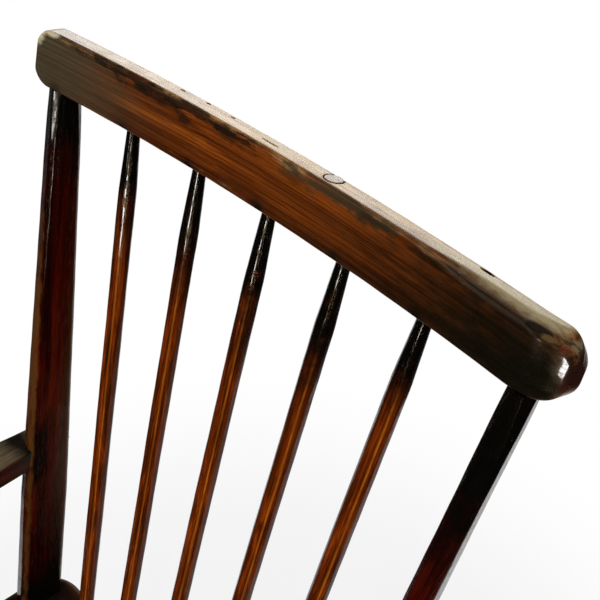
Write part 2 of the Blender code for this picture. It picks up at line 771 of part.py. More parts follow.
def leg_rings(side, back, grow=0.0):
    """The rings of a leg, or of its through tenon as a cutter."""
    foot, head = leg_ends(side, back)
    length = (head - foot).length
    shoulder = length * (1.0 - SEAT_THICKNESS / SEAT_HEIGHT)
    if grow:
        stations = [
            Station(shoulder, LEG_TENON_DIAMETER, None, 0.0, level(SEAT_HEIGHT - SEAT_THICKNESS - CUT_OVERRUN)),
            Station(length, LEG_TENON_TOP_DIAMETER, None, 0.0, level(SEAT_HEIGHT + CUT_OVERRUN)),
        ]
        return bar_rings(foot, head, stations, grow=grow)
    under = level(SEAT_HEIGHT - SEAT_THICKNESS - FIT_GAP)
    stations = [
        Station(0.0, LEG_FOOT_WIDTH, None, 1.0, level(0.0)),
        Station(shoulder / 2, blend(LEG_FOOT_WIDTH, LEG_WIDTH, 0.7), None, 1.0),
        Station(shoulder - LEG_SWELL_DROP, LEG_WIDTH, None, 1.0),
        Station(shoulder, LEG_TOP_WIDTH, None, 1.0, under),
        Station(shoulder, LEG_TENON_DIAMETER, None, 0.0, under),
        Station(length, LEG_TENON_TOP_DIAMETER, None, 0.0, level(SEAT_HEIGHT)),
    ]
    return bar_rings(foot, head, stations)


def wedge_rings(foot, head, top, diameter, grow=0.0):
    """A thin wedge in the end of a through tenon, or the kerf for it, along the chair's depth."""
    axis, width_way, depth_way = bar_frame(foot, head)
    centre = slid_to(head, axis, level(top))
    half_span = diameter / 2 - WEDGE_SIDE_MARGIN + grow
    rings = []
    for distance, thickness, plane in (
        (WEDGE_LENGTH + grow, WEDGE_POINT_THICKNESS, None),
        (0.0, WEDGE_THICKNESS, level(top + (CUT_OVERRUN if grow else 0.0))),
    ):
        point = centre - axis * distance
        half = thickness / 2 + grow
        ring = [
            point + width_way * (half * x) + depth_way * (half_span * y)
            for x, y in ((-1, -1), (1, -1), (1, 1), (-1, 1))
        ]
        rings.append([slid_to(p, axis, plane) for p in ring] if plane else ring)
    return rings


def build_back(carrier):
    """The crest rail with its plug and pegs, the two posts and the row of sticks."""
    numbers = range(1, STICK_COUNT + 1)
    rail = solid("crest_rail", [rail_rings()], RAIL_WOOD, carrier)
    openings = [post_rings(side, FIT_GAP, "rail tenon") for side in SIDES.values()]
    openings += [back_stick_rings(number, FIT_GAP, "rail tenon") for number in numbers]
    cut(rail, "rail_mortises", openings, carrier)
    bores = [rail_peg_rings(side, FIT_GAP) for side in SIDES.values()]
    cut(rail, "rail_bores", [*bores, plug_rings(FIT_GAP)], carrier)
    solid("crest_plug", [plug_rings()], PEG_WOOD, carrier)
    for name, side in SIDES.items():
        post = solid("back_post_" + name, [post_rings(side)], DARK_WOOD, carrier)
        cut(post, "peg_bores_" + name, [rail_peg_rings(side, FIT_GAP), arm_peg_rings(side, FIT_GAP)], carrier)
        solid("rail_peg_" + name, [rail_peg_rings(side)], PEG_WOOD, carrier)
    for number in numbers:
        solid("back_stick_%d" % number, [back_stick_rings(number)], DARK_WOOD, carrier)


def build_arms(carrier):
    """Both arms with their pegs, stumps, wedges and short sticks."""
    for name, side in SIDES.items():
        outline = arm_outline(side)
        arm = solid("arm_" + name, [edge_rings(outline, arm_underside(), arm_top(), ARM_EDGE_ROUND)],
                    DARK_WOOD, carrier)
        cut(arm, "arm_housing_" + name, [post_rings(side, FIT_GAP, "body")], carrier)
        openings = [arm_stick_rings(side, share, FIT_GAP, "arm tenon") for share in ARM_STICK_PLACE_SHARES]
        openings += [stump_rings(side, FIT_GAP, "arm tenon"), arm_peg_rings(side, FIT_GAP)]
        cut(arm, "arm_bores_" + name, openings, carrier)
        solid("arm_peg_" + name, [arm_peg_rings(side)], PEG_WOOD, carrier)
        foot, head = support_ends(side, STUMP_PLACE_SHARE)
        stump = solid("arm_stump_" + name, [stump_rings(side)], DARK_WOOD, carrier)
        cut(stump, "stump_kerf_" + name,
            [wedge_rings(foot, head, arm_top(), STUMP_TENON_DIAMETER, FIT_GAP)], carrier)
        solid("arm_wedge_" + name, [wedge_rings(foot, head, arm_top(), STUMP_TENON_DIAMETER)],
              WEDGE_WOOD, carrier)
        for number, share in enumerate(ARM_STICK_PLACE_SHARES, 1):
            solid("arm_stick_%s_%d" % (name, number), [arm_stick_rings(side, share)], DARK_WOOD, carrier)


def build_seat(carrier):
    """The seat plank with its mortises, and the four wedged legs."""
    seat = solid("seat", [seat_rings()], SEAT_WOOD, carrier)
    openings = [back_stick_rings(n, FIT_GAP, "seat tenon") for n in range(1, STICK_COUNT + 1)]
    for name, side in SIDES.items():
        openings += [post_rings(side, FIT_GAP, "seat tenon"), stump_rings(side, FIT_GAP, "seat tenon")]
        openings += [arm_stick_rings(side, share, FIT_GAP, "seat tenon") for share in ARM_STICK_PLACE_SHARES]
        for row, back in (("front", False), ("back", True)):
            foot, head = leg_ends(side, back)
            leg = solid("leg_%s_%s" % (row, name), [leg_rings(side, back)], DARK_WOOD, carrier)
            kerf = wedge_rings(foot, head, SEAT_HEIGHT, LEG_TENON_TOP_DIAMETER, FIT_GAP)
            cut(leg, "leg_kerf_%s_%s" % (row, name), [kerf], carrier)
            wedge = wedge_rings(foot, head, SEAT_HEIGHT, LEG_TENON_TOP_DIAMETER)
            solid("leg_wedge_%s_%s" % (row, name), [wedge], WEDGE_WOOD, carrier)
            openings.append(leg_rings(side, back, FIT_GAP))
    cut(seat, "seat_mortises", openings, carrier)


def centre_footprint(carrier):
    """Moves the carrier so that the middle of the chair's footprint is at the origin."""
    bpy.context.view_layer.update()
    corners = [
        piece.matrix_world @ Vector(corner)
        for piece in carrier.children if not piece.hide_render
        for corner in piece.bound_box
    ]
    for way in (0, 1):
        places = [corner[way] for corner in corners]
        carrier.location[way] = -(min(places) + max(places)) / 2
    bpy.context.view_layer.update()


def main():
    """Clears the scene and builds the chair."""
    for old in list(bpy.data.objects):
        bpy.data.objects.remove(old)
    carrier = bpy.data.objects.new("stick_chair", None)
    bpy.context.scene.collection.objects.link(carrier)
    build_seat(carrier)
    build_back(carrier)
    build_arms(carrier)
    centre_footprint(carrier)


main()
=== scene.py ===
"""Looks of a dark, polished stick armchair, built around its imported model.

Every wooden piece is drawn again as a fine surface: hand-shaved bars with soft arrises, a bowed crest
rail with rounded ends, flat arms and a dished plank. Each surface carries three attributes that its
finish reads: wood, the piece's own coordinates in metres with the grain along the third; edge, which is
1 on an arris and fades to 0 on the flats; and near, which is 1 at a joint and fades away from it.
"""

import logging
import math
from dataclasses import dataclass, replace
from enum import Enum
from typing import Iterable, Sequence

import bpy
import numpy as np
from mathutils import Matrix

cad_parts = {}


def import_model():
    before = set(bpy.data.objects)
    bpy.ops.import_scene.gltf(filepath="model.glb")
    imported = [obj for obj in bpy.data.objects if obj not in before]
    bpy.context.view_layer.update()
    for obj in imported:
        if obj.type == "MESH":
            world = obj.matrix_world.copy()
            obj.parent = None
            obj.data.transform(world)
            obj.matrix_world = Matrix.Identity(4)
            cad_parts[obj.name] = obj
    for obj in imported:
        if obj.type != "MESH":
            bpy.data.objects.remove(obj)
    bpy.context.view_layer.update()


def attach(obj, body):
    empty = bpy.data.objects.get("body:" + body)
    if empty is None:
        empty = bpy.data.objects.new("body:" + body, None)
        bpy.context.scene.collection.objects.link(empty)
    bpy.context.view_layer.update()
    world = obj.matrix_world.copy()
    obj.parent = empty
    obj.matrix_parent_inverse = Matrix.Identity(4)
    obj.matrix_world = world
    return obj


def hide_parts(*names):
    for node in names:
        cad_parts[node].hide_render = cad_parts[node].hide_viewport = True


log = logging.getLogger("stick_chair")

Array = np.ndarray
Numbers = Array | float
Pair = tuple[float, float]
Triple = tuple[float, float, float]
Colour = Triple
Tree = bpy.types.NodeTree
Node = bpy.types.Node
Socket = bpy.types.NodeSocket
# A socket, or a plain number, vector or colour in its place
Given = object
Inputs = Iterable[tuple[str | int, Given]]
Outputs = bpy.types.bpy_prop_collection

ROOT = "root"
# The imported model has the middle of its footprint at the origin; the posts' line is this far behind it
POST_LINE = np.array((0.0, 0.059194, 0.0))
RIGHT = np.array((1.0, 0.0, 0.0))
UP = np.array((0.0, 0.0, 1.0))
SHARP_ANGLE = math.radians(38.0)
FACETS = 8
# The chamfer of a regular octagon, as a share of its width
OCTAGON_CHAMFER_SHARE = 1.0 - math.sqrt(0.5)
# The lengths of the two waves that a spokeshave leaves along a flat
RIPPLE_LENGTHS = (0.19, 0.043)
# How far the wood of one seed lies from that of the next
WOOD_SHIFT = np.array((0.113, 0.071, 0.437))
# The way of the painted light on the sticks, and the cosine to it below which a flat gets painted shade
PAINTED_LIGHT_WAY = np.array((0.62, -0.74, 0.26))
PAINTED_SHADE_COSINE = 0.94
# The noise that sways the grain: its scale each way, and how far it goes across the grain
SWAY_SCALE = (7.0, 7.0, 3.0)
SWAY_WIDTH = (0.012, 0.012, 0.0)
# How much finer or coarser than the fibre the rings and the pores are
RINGS_TO_FIBRE = 0.7
PORES_TO_FIBRE = 1.5
# What grooves in bleached wood, the grain's lines, and the same lines over all marks darken the wood by
GROOVE_TINT = (0.5, 0.42, 0.32)
LINE_TINT = (0.3, 0.24, 0.2)
OVERLAID_TINT = (0.35, 0.3, 0.25)


class Side(Enum):
    """The chair's sides, as seen by someone who stands in front of it."""

    LEFT = -1
    RIGHT = 1

    @property
    def label(self) -> str:
        """The side's word in the names of pieces."""
        return self.name.lower()

    @property
    def post_seed(self) -> int:
        """The seed of this side's back post."""
        return 51 + self.value


class Row(Enum):
    """The chair's front and back pairs of legs."""

    FRONT = "front"
    BACK = "back"


class Slot(Enum):
    """The record's material slots."""

    DARK = "dark_wood"
    RAIL = "rail_wood"
    SEAT = "seat_wood"
    PEG = "peg_wood"
    WEDGE = "wedge_wood"


# Numbers and directions


def unit(vector: Array) -> Array:
    """The vector at length one."""
    return vector / np.linalg.norm(vector)


def unit_rows(vectors: Array) -> Array:
    """Each vector of an array at length 1."""
    return vectors / np.linalg.norm(vectors, axis=-1, keepdims=True)


def blend(low: Numbers, high: Numbers, share: Numbers) -> Numbers:
    """The value a share of the way from low to high."""
    return low + (high - low) * share


def eased(share: Numbers) -> Numbers:
    """A share that starts and ends gently: 3s^2 - 2s^3 between 0 and 1."""
    held = np.clip(share, 0.0, 1.0)
    return held * held * (3.0 - 2.0 * held)


def parted(steps: int) -> Array:
    """The shares that part 0 to 1 into even steps, without the two ends."""
    return np.linspace(0.0, 1.0, steps + 1)[1:-1]


def quarter(steps: int) -> Array:
    """The angles that part a quarter turn into even steps, with both ends."""
    return np.linspace(0.0, math.pi / 2, steps + 1)


def softened(values: Array) -> Array:
    """Each value but the ends, mixed half and half with the mean of its neighbours."""
    return np.convolve(values, (0.25, 0.5, 0.25), "valid")


def stacked(*parts: Array) -> Array:
    """Arrays put together along a new last dimension."""
    return np.stack(parts, axis=-1)


def joined(*parts: Array, axis: int = 0) -> Array:
    """Arrays put end to end."""
    return np.concatenate(parts, axis=axis)


def apart(first: Array, second: Array) -> float:
    """The distance between two points."""
    return float(np.linalg.norm(second - first))


def fading(distance: Array, reach: float) -> Array:
    """A mask that is 1 at distance zero and falls by e over each reach."""
    return np.exp(-np.abs(distance) / reach)


def drawn_in(from_end: Array, radius: float) -> Array:
    """How far a round end has drawn in: r - sqrt(r^2 - (r - d)^2) at d from the tip."""
    reach = np.clip(radius - from_end, 0.0, radius)
    return radius - np.sqrt(radius * radius - reach * reach)


def rounded_wall(low: float, high: float, radius: float, arc_steps: int,
                 wall_steps: int) -> tuple[Array, Array]:
    """The rings of an upright wall whose edges are rounded.

    A ring at angle a of an edge's quarter turn lies r (1 - sin a) in and r (1 - cos a) from the face.

    Args:
        low: The height of the lower face.
        high: The height of the upper face.
        radius: The radius r of both edges.
        arc_steps: The steps of each quarter turn.
        wall_steps: The steps of the plain wall between them.

    Returns:
        How far in each ring lies, and its height.
    """
    turn, wall = quarter(arc_steps), parted(wall_steps)
    inset, rise = radius * (1.0 - np.sin(turn)), radius * (1.0 - np.cos(turn))
    insets = joined(inset, np.zeros(len(wall)), inset[::-1])
    return insets, joined(low + rise, blend(low + radius, high - radius, wall), high - rise[::-1])


@dataclass(frozen=True)
class Plane:
    """A plane that a shoulder or an end is cut to."""

    point: Array
    normal: Array


def level(height: float) -> Plane:
    """The horizontal plane at a height."""
    return Plane(np.array((0.0, 0.0, height)), UP)


def slid_to(points: Array, axis: Array, plane: Plane) -> Array:
    """Points p moved along an axis until they lie on a plane of point q: p + axis * ((q - p).n / axis.n)."""
    travel = (plane.point - points) @ plane.normal / (axis @ plane.normal)
    return points + travel[..., None] * axis


# Surfaces


@dataclass
class Surface:
    """A grid of points that closes round its columns and has a flat face on its first and last row.

    Beside its points it holds the attributes wood, edge and near, and facing, the cosine between the
    surface's way out and the way of the painted light, which the finish reads to paint light and shade.
    """

    points: Array
    wood: Array
    edge: Array
    near: Array
    facing: Array | None = None

    def signed_volume(self) -> float:
        """Adds up the tetrahedra that the side faces make with the middle.

        Returns:
            Six times their volume, negative where the faces look in.
        """
        grid = self.points - self.points.reshape(-1, 3).mean(axis=0)
        here, above = grid[:-1], grid[1:]
        beside, across = np.roll(here, -1, axis=1), np.roll(above, -1, axis=1)
        first = np.einsum("ijk,ijk->", here, np.cross(beside, across))
        return float(first + np.einsum("ijk,ijk->", here, np.cross(across, above)))

    def to_mesh(self, name: str) -> bpy.types.Mesh:
        """Puts the grid, its two end faces and its attributes into a mesh.

        Args:
            name: The mesh's name.

        Returns:
            The mesh, smooth apart from edges sharper than SHARP_ANGLE, with its faces pointing out.
        """
        rows, columns = self.points.shape[:2]
        index = np.arange(rows * columns).reshape(rows, columns)
        beside = np.roll(index, -1, axis=1)
        quads = stacked(index[:-1], beside[:-1], beside[1:], index[1:]).reshape(-1, 4)
        first, last = index[0][::-1], index[-1]
        if self.signed_volume() < 0.0:
            quads, first, last = quads[:, ::-1], first[::-1], last[::-1]
        corners = joined(quads.ravel(), first, last).astype(np.int32)
        starts = np.arange(len(quads)) * 4
        starts = np.append(starts, (quads.size, quads.size + columns)).astype(np.int32)
        mesh = bpy.data.meshes.new(name)
        mesh.vertices.add(rows * columns)
        mesh.vertices.foreach_set("co", self.points.reshape(-1).astype(np.float32))
        mesh.loops.add(len(corners))
        mesh.loops.foreach_set("vertex_index", corners)
        mesh.polygons.add(len(starts))
        mesh.polygons.foreach_set("loop_start", starts)
        mesh.update(calc_edges=True)
        mesh.validate()
        mesh.polygons.foreach_set("use_smooth", np.ones(len(mesh.polygons), dtype=bool))
        mesh.set_sharp_from_angle(angle=SHARP_ANGLE)
        wood = mesh.attributes.new("wood", "FLOAT_VECTOR", "POINT")
        wood.data.foreach_set("vector", self.wood.reshape(-1).astype(np.float32))
        facing = np.full_like(self.edge, PAINTED_SHADE_COSINE) if self.facing is None else self.facing
        for label, values in (("edge", self.edge), ("near", self.near), ("facing", facing)):
            attribute = mesh.attributes.new(label, "FLOAT", "POINT")
            attribute.data.foreach_set("value", values.reshape(-1).astype(np.float32))
        return mesh


def stand(name: str, data: bpy.types.ID) -> bpy.types.Object:
    """Puts a mesh, a light or a camera into the scene.

    Args:
        name: The new object's name.
        data: What it holds.

    Returns:
        The object.
    """
    thing = bpy.data.objects.new(name, data)
    bpy.context.scene.collection.objects.link(thing)
    return thing


def place(name: str, surface: Surface, material: bpy.types.Material, slot: Slot, *nodes: str) -> None:
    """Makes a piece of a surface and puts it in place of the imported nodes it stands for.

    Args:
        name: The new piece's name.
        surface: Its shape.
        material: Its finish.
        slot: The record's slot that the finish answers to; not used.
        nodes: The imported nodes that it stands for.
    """
    mesh = surface.to_mesh(name)
    mesh.materials.append(material)
    piece = stand(name, mesh)
    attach(piece, ROOT)
    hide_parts(*nodes)
    log.info("%s: %d faces, stands for %s", name, len(mesh.polygons), ", ".join(nodes))


@dataclass
class Station:
    """One place along a bar, where its section is set."""

    along: float
    width: float
    depth: float | None = None
    chamfer: float | None = None
    facet: float = 1.0
    plane: Plane | None = None

    @classmethod
    def rounded(cls, along: float, diameter: float, plane: Plane | None = None) -> "Station":
        """A round section."""
        return cls(along, diameter, facet=0.0, plane=plane)

    def measures(self) -> tuple[float, float, float, float]:
        """The width, depth, chamfer and facet, with a regular octagon's where they are left out."""
        chamfer = OCTAGON_CHAMFER_SHARE * self.width if self.chamfer is None else self.chamfer
        return self.width, self.depth or self.width, chamfer, self.facet


def foot_tenon(length: float, diameter: float, plane: Plane) -> tuple[Station, Station]:
    """A round tenon below a shoulder that lies on a plane at the bar's foot."""
    return Station.rounded(-length, diameter), Station.rounded(0.0, diameter, plane)


def through_end(along: float, diameter: float, narrowing: float, height: float,
                rise: float = 0.0004) -> tuple[Station, Station]:
    """A through tenon's end, which narrows from a rise below a face's height to a rise above it."""
    low, high = level(height - rise), level(height + rise)
    return Station.rounded(along, diameter, low), Station.rounded(along, diameter - narrowing, high)


@dataclass
class Bar:
    """A straight bar: round, eight-sided or a chamfered rectangle, with soft arrises.

    Its joints are pairs of a distance along it and a reach, where it is dark. A higher crisp makes
    sharper arrises, and ripple is how deep a spokeshave's waves are. Its width is measured across the
    chair, or upright, before it is turned.
    """

    foot: Array
    head: Array
    stations: Sequence[Station]
    turn: float = 0.0
    crisp: float = 34.0
    columns: int = 96
    step: float = 0.004
    ripple: float = 0.00022
    seed: int = 0
    joints: Sequence[Pair] = ()
    painted_light_way: Array | None = None
    upright: bool = False

    def axes(self) -> tuple[Array, Array, Array]:
        """The bar's axis and its two cross directions, turned about the axis.

        Returns:
            The three directions, each of length one.
        """
        axis = unit(self.head - self.foot)
        way = UP if self.upright else RIGHT
        width_way = unit(way - axis * (way @ axis))
        depth_way = np.cross(axis, width_way)
        turned = width_way * math.cos(self.turn) + depth_way * math.sin(self.turn)
        return axis, turned, np.cross(axis, turned)

    def rows(self) -> tuple[Array, Array]:
        """The distances along the axis of all rows, and each one's place in the list of stations.

        Rows lie at most one step apart, and a station's own row is kept.

        Returns:
            The distances and the places, where 1.5 is halfway from the second station to the third.
        """
        alongs, places = [], []
        for number, (low, high) in enumerate(zip(self.stations, self.stations[1:])):
            count = max(1, int(math.ceil((high.along - low.along) / self.step)))
            shares = np.arange(count) / count
            alongs.append(blend(low.along, high.along, shares))
            places.append(number + shares)
        alongs.append([self.stations[-1].along])
        places.append([len(self.stations) - 1.0])
        return np.concatenate(alongs), np.concatenate(places)

    def section(self, along: Array, places: Array) -> tuple[Array, Array, Array]:
        """The outline of each row: a polygon of eight flats with soft arrises.

        In the direction t its radius is (sum over flats of (cos(t - flat's angle) / flat's
        distance)^crisp)^(-1 / crisp), which follows the flats and rounds the arrises between them.
        Where facet is 0 the radius is half the width. A ripple of two sine waves along each flat
        draws it in a little, as a spokeshave does.

        Args:
            along: The rows' distances along the axis.
            places: Their places in the list of stations.

        Returns:
            Each point's distances along the two cross directions, and its share of arris.
        """
        keys = np.arange(len(self.stations))
        measures = zip(*(station.measures() for station in self.stations))
        width, depth, chamfer, facet = (np.interp(places, keys, values) for values in measures)
        facet = facet[:, None]
        corner = (width / 2 + depth / 2 - chamfer) * math.sqrt(0.5)
        distance = np.stack((width / 2, corner, depth / 2, corner) * 2, axis=-1)
        chance = np.random.default_rng(self.seed)
        for length in RIPPLE_LENGTHS:
            phase = chance.uniform(0.0, math.tau, FACETS)
            wave = 0.5 + 0.5 * np.sin(math.tau * along[:, None] / length + phase)
            distance = distance - self.ripple * wave * math.sqrt(length / RIPPLE_LENGTHS[0]) * facet
        turn = np.arange(self.columns) / self.columns * math.tau
        angle = np.arctan2(depth[:, None] * np.sin(turn), width[:, None] * np.cos(turn))
        flats = np.arange(FACETS) / FACETS * math.tau
        pull = np.clip(np.cos(angle[..., None] - flats), 0.0, None) / distance[:, None, :]
        pull = (pull * width[:, None, None]) ** self.crisp
        total = pull.sum(axis=-1)
        radius = blend(width[:, None] / 2, width[:, None] * total ** (-1.0 / self.crisp), facet)
        edge = 2.0 * (1.0 - pull.max(axis=-1) / total) * facet
        return radius * np.cos(angle), radius * np.sin(angle), edge

    def surface(self) -> Surface:
        """The bar's skin, dark round each joint by e^-(d / reach)^2 at a distance d.

        Returns:
            The surface.
        """
        along, places = self.rows()
        x, y, edge = self.section(along, places)
        axis, width_way, depth_way = self.axes()
        outward = x[..., None] * width_way + y[..., None] * depth_way
        points = self.cut_to_planes((self.foot + along[:, None] * axis)[:, None] + outward, places, axis)
        local = along[:, None] + np.zeros_like(x)
        wood = stacked(x, y, local) + self.seed * WOOD_SHIFT
        near = np.zeros_like(x)
        for joint, reach in self.joints:
            near = np.maximum(near, np.exp(-(((local - joint) / reach) ** 2)))
        facing = None if self.painted_light_way is None else unit_rows(outward) @ self.painted_light_way
        return Surface(points, wood, edge, near, facing)

    def cut_to_planes(self, points: Array, places: Array, axis: Array) -> Array:
        """Slides rows along the axis: a station's row onto its plane, and those between in proportion.

        Args:
            points: The rows' points.
            places: The rows' places in the list of stations.
            axis: The bar's axis.

        Returns:
            The moved points.
        """
        travel = np.zeros((len(self.stations) + 1, points.shape[1]))
        for number, station in enumerate(self.stations):
            if station.plane is not None:
                row = points[int(np.argmin(np.abs(places - number)))]
                travel[number] = (slid_to(row, axis, station.plane) - row) @ axis
        before = places.astype(int)
        share = (places - before)[:, None]
        return points + blend(travel[before], travel[before + 1], share)[..., None] * axis


# Shader graphs


class Graph:
    """Adds nodes to one tree and links them."""

    def __init__(self, tree: Tree) -> None:
        """Takes the node tree that it fills."""
        self.tree = tree

    def add(self, kind: str, given: Inputs = (), **settings: object) -> Node:
        """Adds a node, sets its own properties and then feeds its inputs.

        Args:
            kind: The node's type.
            given: What its inputs get, each with the input's name or number.
            settings: The node's own properties.

        Returns:
            The node.
        """
        node = self.tree.nodes.new(kind)
        for name, value in settings.items():
            setattr(node, name, value)
        for label, value in given:
            self.feed(node.inputs[label], value)
        return node

    def feed(self, socket: Socket, value: Given) -> None:
        """Links a socket to an input, or gives it a plain value.

        Args:
            socket: The input.
            value: What it gets; a colour of three numbers is made opaque.
        """
        if isinstance(value, Socket):
            self.tree.links.new(value, socket)
        elif isinstance(value, tuple) and socket.type == "RGBA":
            socket.default_value = (*value, 1.0)
        else:
            socket.default_value = value

    def math(self, operation: str, *values: Given, clamp: bool = False) -> Socket:
        """The result of a Math node."""
        return self.add("ShaderNodeMath", enumerate(values), operation=operation, use_clamp=clamp).outputs[0]

    def times(self, first: Given, second: Given, clamp: bool = False) -> Socket:
        """The product of two values."""
        return self.math("MULTIPLY", first, second, clamp=clamp)

    def scaled(self, value: Given, factor: Given, more: Given, clamp: bool = False) -> Socket:
        """A value times a factor, and something more."""
        return self.math("MULTIPLY_ADD", value, factor, more, clamp=clamp)

    def vector(self, operation: str, *values: Given) -> Socket:
        """The vector that a Vector Math node puts out, or the number of a length or dot product."""
        node = self.add("ShaderNodeVectorMath", enumerate(values), operation=operation)
        return node.outputs["Value" if operation in ("LENGTH", "DOT_PRODUCT") else "Vector"]

    def colour(self, factor: Given, first: Given, second: Given, way: str = "MIX") -> Socket:
        """Two colours mixed by a factor."""
        given = (("Factor", factor), ("A", first), ("B", second))
        return self.add("ShaderNodeMix", given, data_type="RGBA", blend_type=way).outputs["Result"]

    def remap(self, value: Given, low: Given, high: Given, start: Given = 0.0, end: Given = 1.0,
              way: str = "SMOOTHSTEP") -> Socket:
        """A value carried from low and high to start and end, and held between them."""
        given = zip(("Value", "From Min", "From Max", "To Min", "To Max"), (value, low, high, start, end))
        return self.add("ShaderNodeMapRange", given, interpolation_type=way).outputs["Result"]

    def noise(self, vector: Given, scale: Given, run: float = 1.0, detail: float = 2.0,
              rough: float = 0.5, twist: float = 0.0) -> Socket:
        """A noise, mostly between 0.3 and 0.7, drawn out along the grain.

        Args:
            vector: The coordinates, with the grain along the third.
            scale: How fine it is.
            run: What the third coordinate is multiplied by.
            detail: How many finer layers it has.
            rough: How strong they are.
            twist: How much it is distorted.

        Returns:
            The noise.
        """
        drawn = vector if run == 1.0 else self.vector("MULTIPLY", vector, (1.0, 1.0, run))
        given = {"Vector": drawn, "Scale": scale, "Detail": detail, "Roughness": rough, "Distortion": twist}
        return self.add("ShaderNodeTexNoise", given.items()).outputs["Fac"]

    def mask(self, low: float, high: float, *place: Given, **looks: float) -> Socket:
        """A noise of given coordinates, scale and looks, carried from low and high to 0 and 1."""
        return self.remap(self.noise(*place, **looks), low, high)

    def attribute(self, name: str, output: str) -> Socket:
        """One of the surface's own attributes."""
        return self.add("ShaderNodeAttribute", attribute_name=name).outputs[output]

    def place(self, group: Tree, **values: Given) -> Outputs:
        """Adds a group, feeds its inputs and hands back its outputs."""
        return self.add("ShaderNodeGroup", values.items(), node_tree=group).outputs


class Group(Graph):
    """A shader node group with named inputs and outputs."""

    def __init__(self, name: str, outputs: Sequence[str], **inputs: Given) -> None:
        """Makes the group's sockets, of which the first is always Vector.

        Args:
            name: The group's name.
            outputs: The names of its outputs, which are all values.
            inputs: The other inputs, with their values where nothing is linked; a tuple makes a vector.
        """
        super().__init__(bpy.data.node_groups.new(name, "ShaderNodeTree"))
        for label, value in {"Vector": (0.0, 0.0, 0.0), **inputs}.items():
            kind = "NodeSocketVector" if isinstance(value, tuple) else "NodeSocketFloat"
            socket = self.tree.interface.new_socket(label, in_out="INPUT", socket_type=kind)
            socket.default_value = value
        for label in outputs:
            self.tree.interface.new_socket(label, in_out="OUTPUT", socket_type="NodeSocketFloat")
        self.inputs = self.add("NodeGroupInput").outputs
        self.outputs = self.add("NodeGroupOutput").inputs

    def put_out(self, name: str, socket: Socket) -> None:
        """Links a result to one of the group's outputs."""
        self.tree.links.new(socket, self.outputs[name])


def grain_group() -> Tree:
    """Long grain: broad figure, rings, fine fibres and short open pores.

    Each is a mask of noise. Their coordinates are drawn out along the grain by Run, and swayed
    across it by a broad noise.

    Returns:
        A group that puts out Figure, Rings, Fibre and Pores, each from 0 to 1.
    """
    outputs = ("Figure", "Rings", "Fibre", "Pores")
    graph = Group("long_grain", outputs, Figure=45.0, Fibre=900.0, Run=0.06)
    given = graph.inputs
    squeeze = graph.add("ShaderNodeCombineXYZ", (("X", 1.0), ("Y", 1.0), ("Z", given["Run"])))
    drawn = graph.vector("MULTIPLY", given["Vector"], squeeze.outputs[0])
    sway = graph.noise(graph.vector("MULTIPLY", given["Vector"], SWAY_SCALE), 1.0)
    swayed = graph.vector("MULTIPLY_ADD", sway, SWAY_WIDTH, drawn)
    graph.put_out("Figure", graph.mask(0.3, 0.7, swayed, given["Figure"], detail=4.0, rough=0.62, twist=0.6))
    rings = graph.times(given["Fibre"], RINGS_TO_FIBRE)
    graph.put_out("Rings", graph.mask(0.46, 0.58, swayed, rings, run=0.25))
    graph.put_out("Fibre", graph.mask(0.38, 0.62, swayed, given["Fibre"], detail=3.0, rough=0.6, twist=0.2))
    pores = graph.times(given["Fibre"], PORES_TO_FIBRE)
    graph.put_out("Pores", graph.mask(0.66, 0.74, swayed, pores, run=0.55, detail=1.0))
    return graph.tree


def rub_group() -> Tree:
    """Rubbed arrises: where hands and dusters have worn the dark finish off an edge.

    The mask rises where Edge times Amount and a noise together are high.

    Returns:
        A group that puts out Mask.
    """
    graph = Group("rubbed_arris", ("Mask",), Edge=0.0, Amount=0.5, Scale=60.0)
    given = graph.inputs
    patches = graph.noise(given["Vector"], given["Scale"], run=0.35, detail=4.0, rough=0.65)
    reach = graph.math("ADD", graph.times(given["Edge"], given["Amount"]), patches)
    graph.put_out("Mask", graph.remap(reach, 0.74, 1.02))
    return graph.tree


def grime_and_shade_group() -> Tree:
    """Grime: old wax and dust that stay near joints and in hollows, and painted shade where a joint's reach
    is long, as on the sticks' necks and the posts near the rail.

    The mask rises with Near times (1.3 noise + 0.35), and Amount thins it.

    Returns:
        A group that puts out Mask.
    """
    graph = Group("grime_and_painted_shade", ("Mask",), Near=0.0, Amount=1.0)
    given = graph.inputs
    cloud = graph.noise(given["Vector"], 38.0, detail=4.0, rough=0.65)
    reach = graph.times(given["Near"], graph.scaled(cloud, 1.3, 0.35))
    graph.put_out("Mask", graph.times(graph.remap(reach, 0.12, 0.85), given["Amount"], clamp=True))
    return graph.tree


def polish_group() -> Tree:
    """Old polish: cloudy gloss that fine wear and runs of fibre break up, and the small relief of both.

    Roughness goes from Gloss to Dull with 0.65 clouds + 0.45 flecks. Height is 0.8 lumps + 0.25
    Fibre + 0.12 flecks.

    Returns:
        A group that puts out Roughness, Height and Film, the share of the surface that is still coated.
    """
    graph = Group("old_polish", ("Roughness", "Height", "Film"), Fibre=0.5, Gloss=0.2, Dull=0.4)
    given = graph.inputs
    wood = given["Vector"]
    clouds = graph.mask(0.35, 0.68, wood, 55.0, detail=5.0, rough=0.6)
    flecks = graph.mask(0.52, 0.72, wood, 620.0, run=0.05, rough=0.6)
    share = graph.math("ADD", graph.times(clouds, 0.65), graph.times(flecks, 0.45), clamp=True)
    graph.put_out("Roughness", graph.remap(share, 0.0, 1.0, given["Gloss"], given["Dull"], way="LINEAR"))
    graph.put_out("Film", graph.mask(0.44, 0.56, wood, 360.0, run=0.3, detail=3.0, rough=0.65))
    lumps = graph.noise(wood, 120.0, run=0.12)
    height = graph.scaled(lumps, 0.8, graph.times(given["Fibre"], 0.25))
    graph.put_out("Height", graph.scaled(flecks, 0.12, height))
    return graph.tree


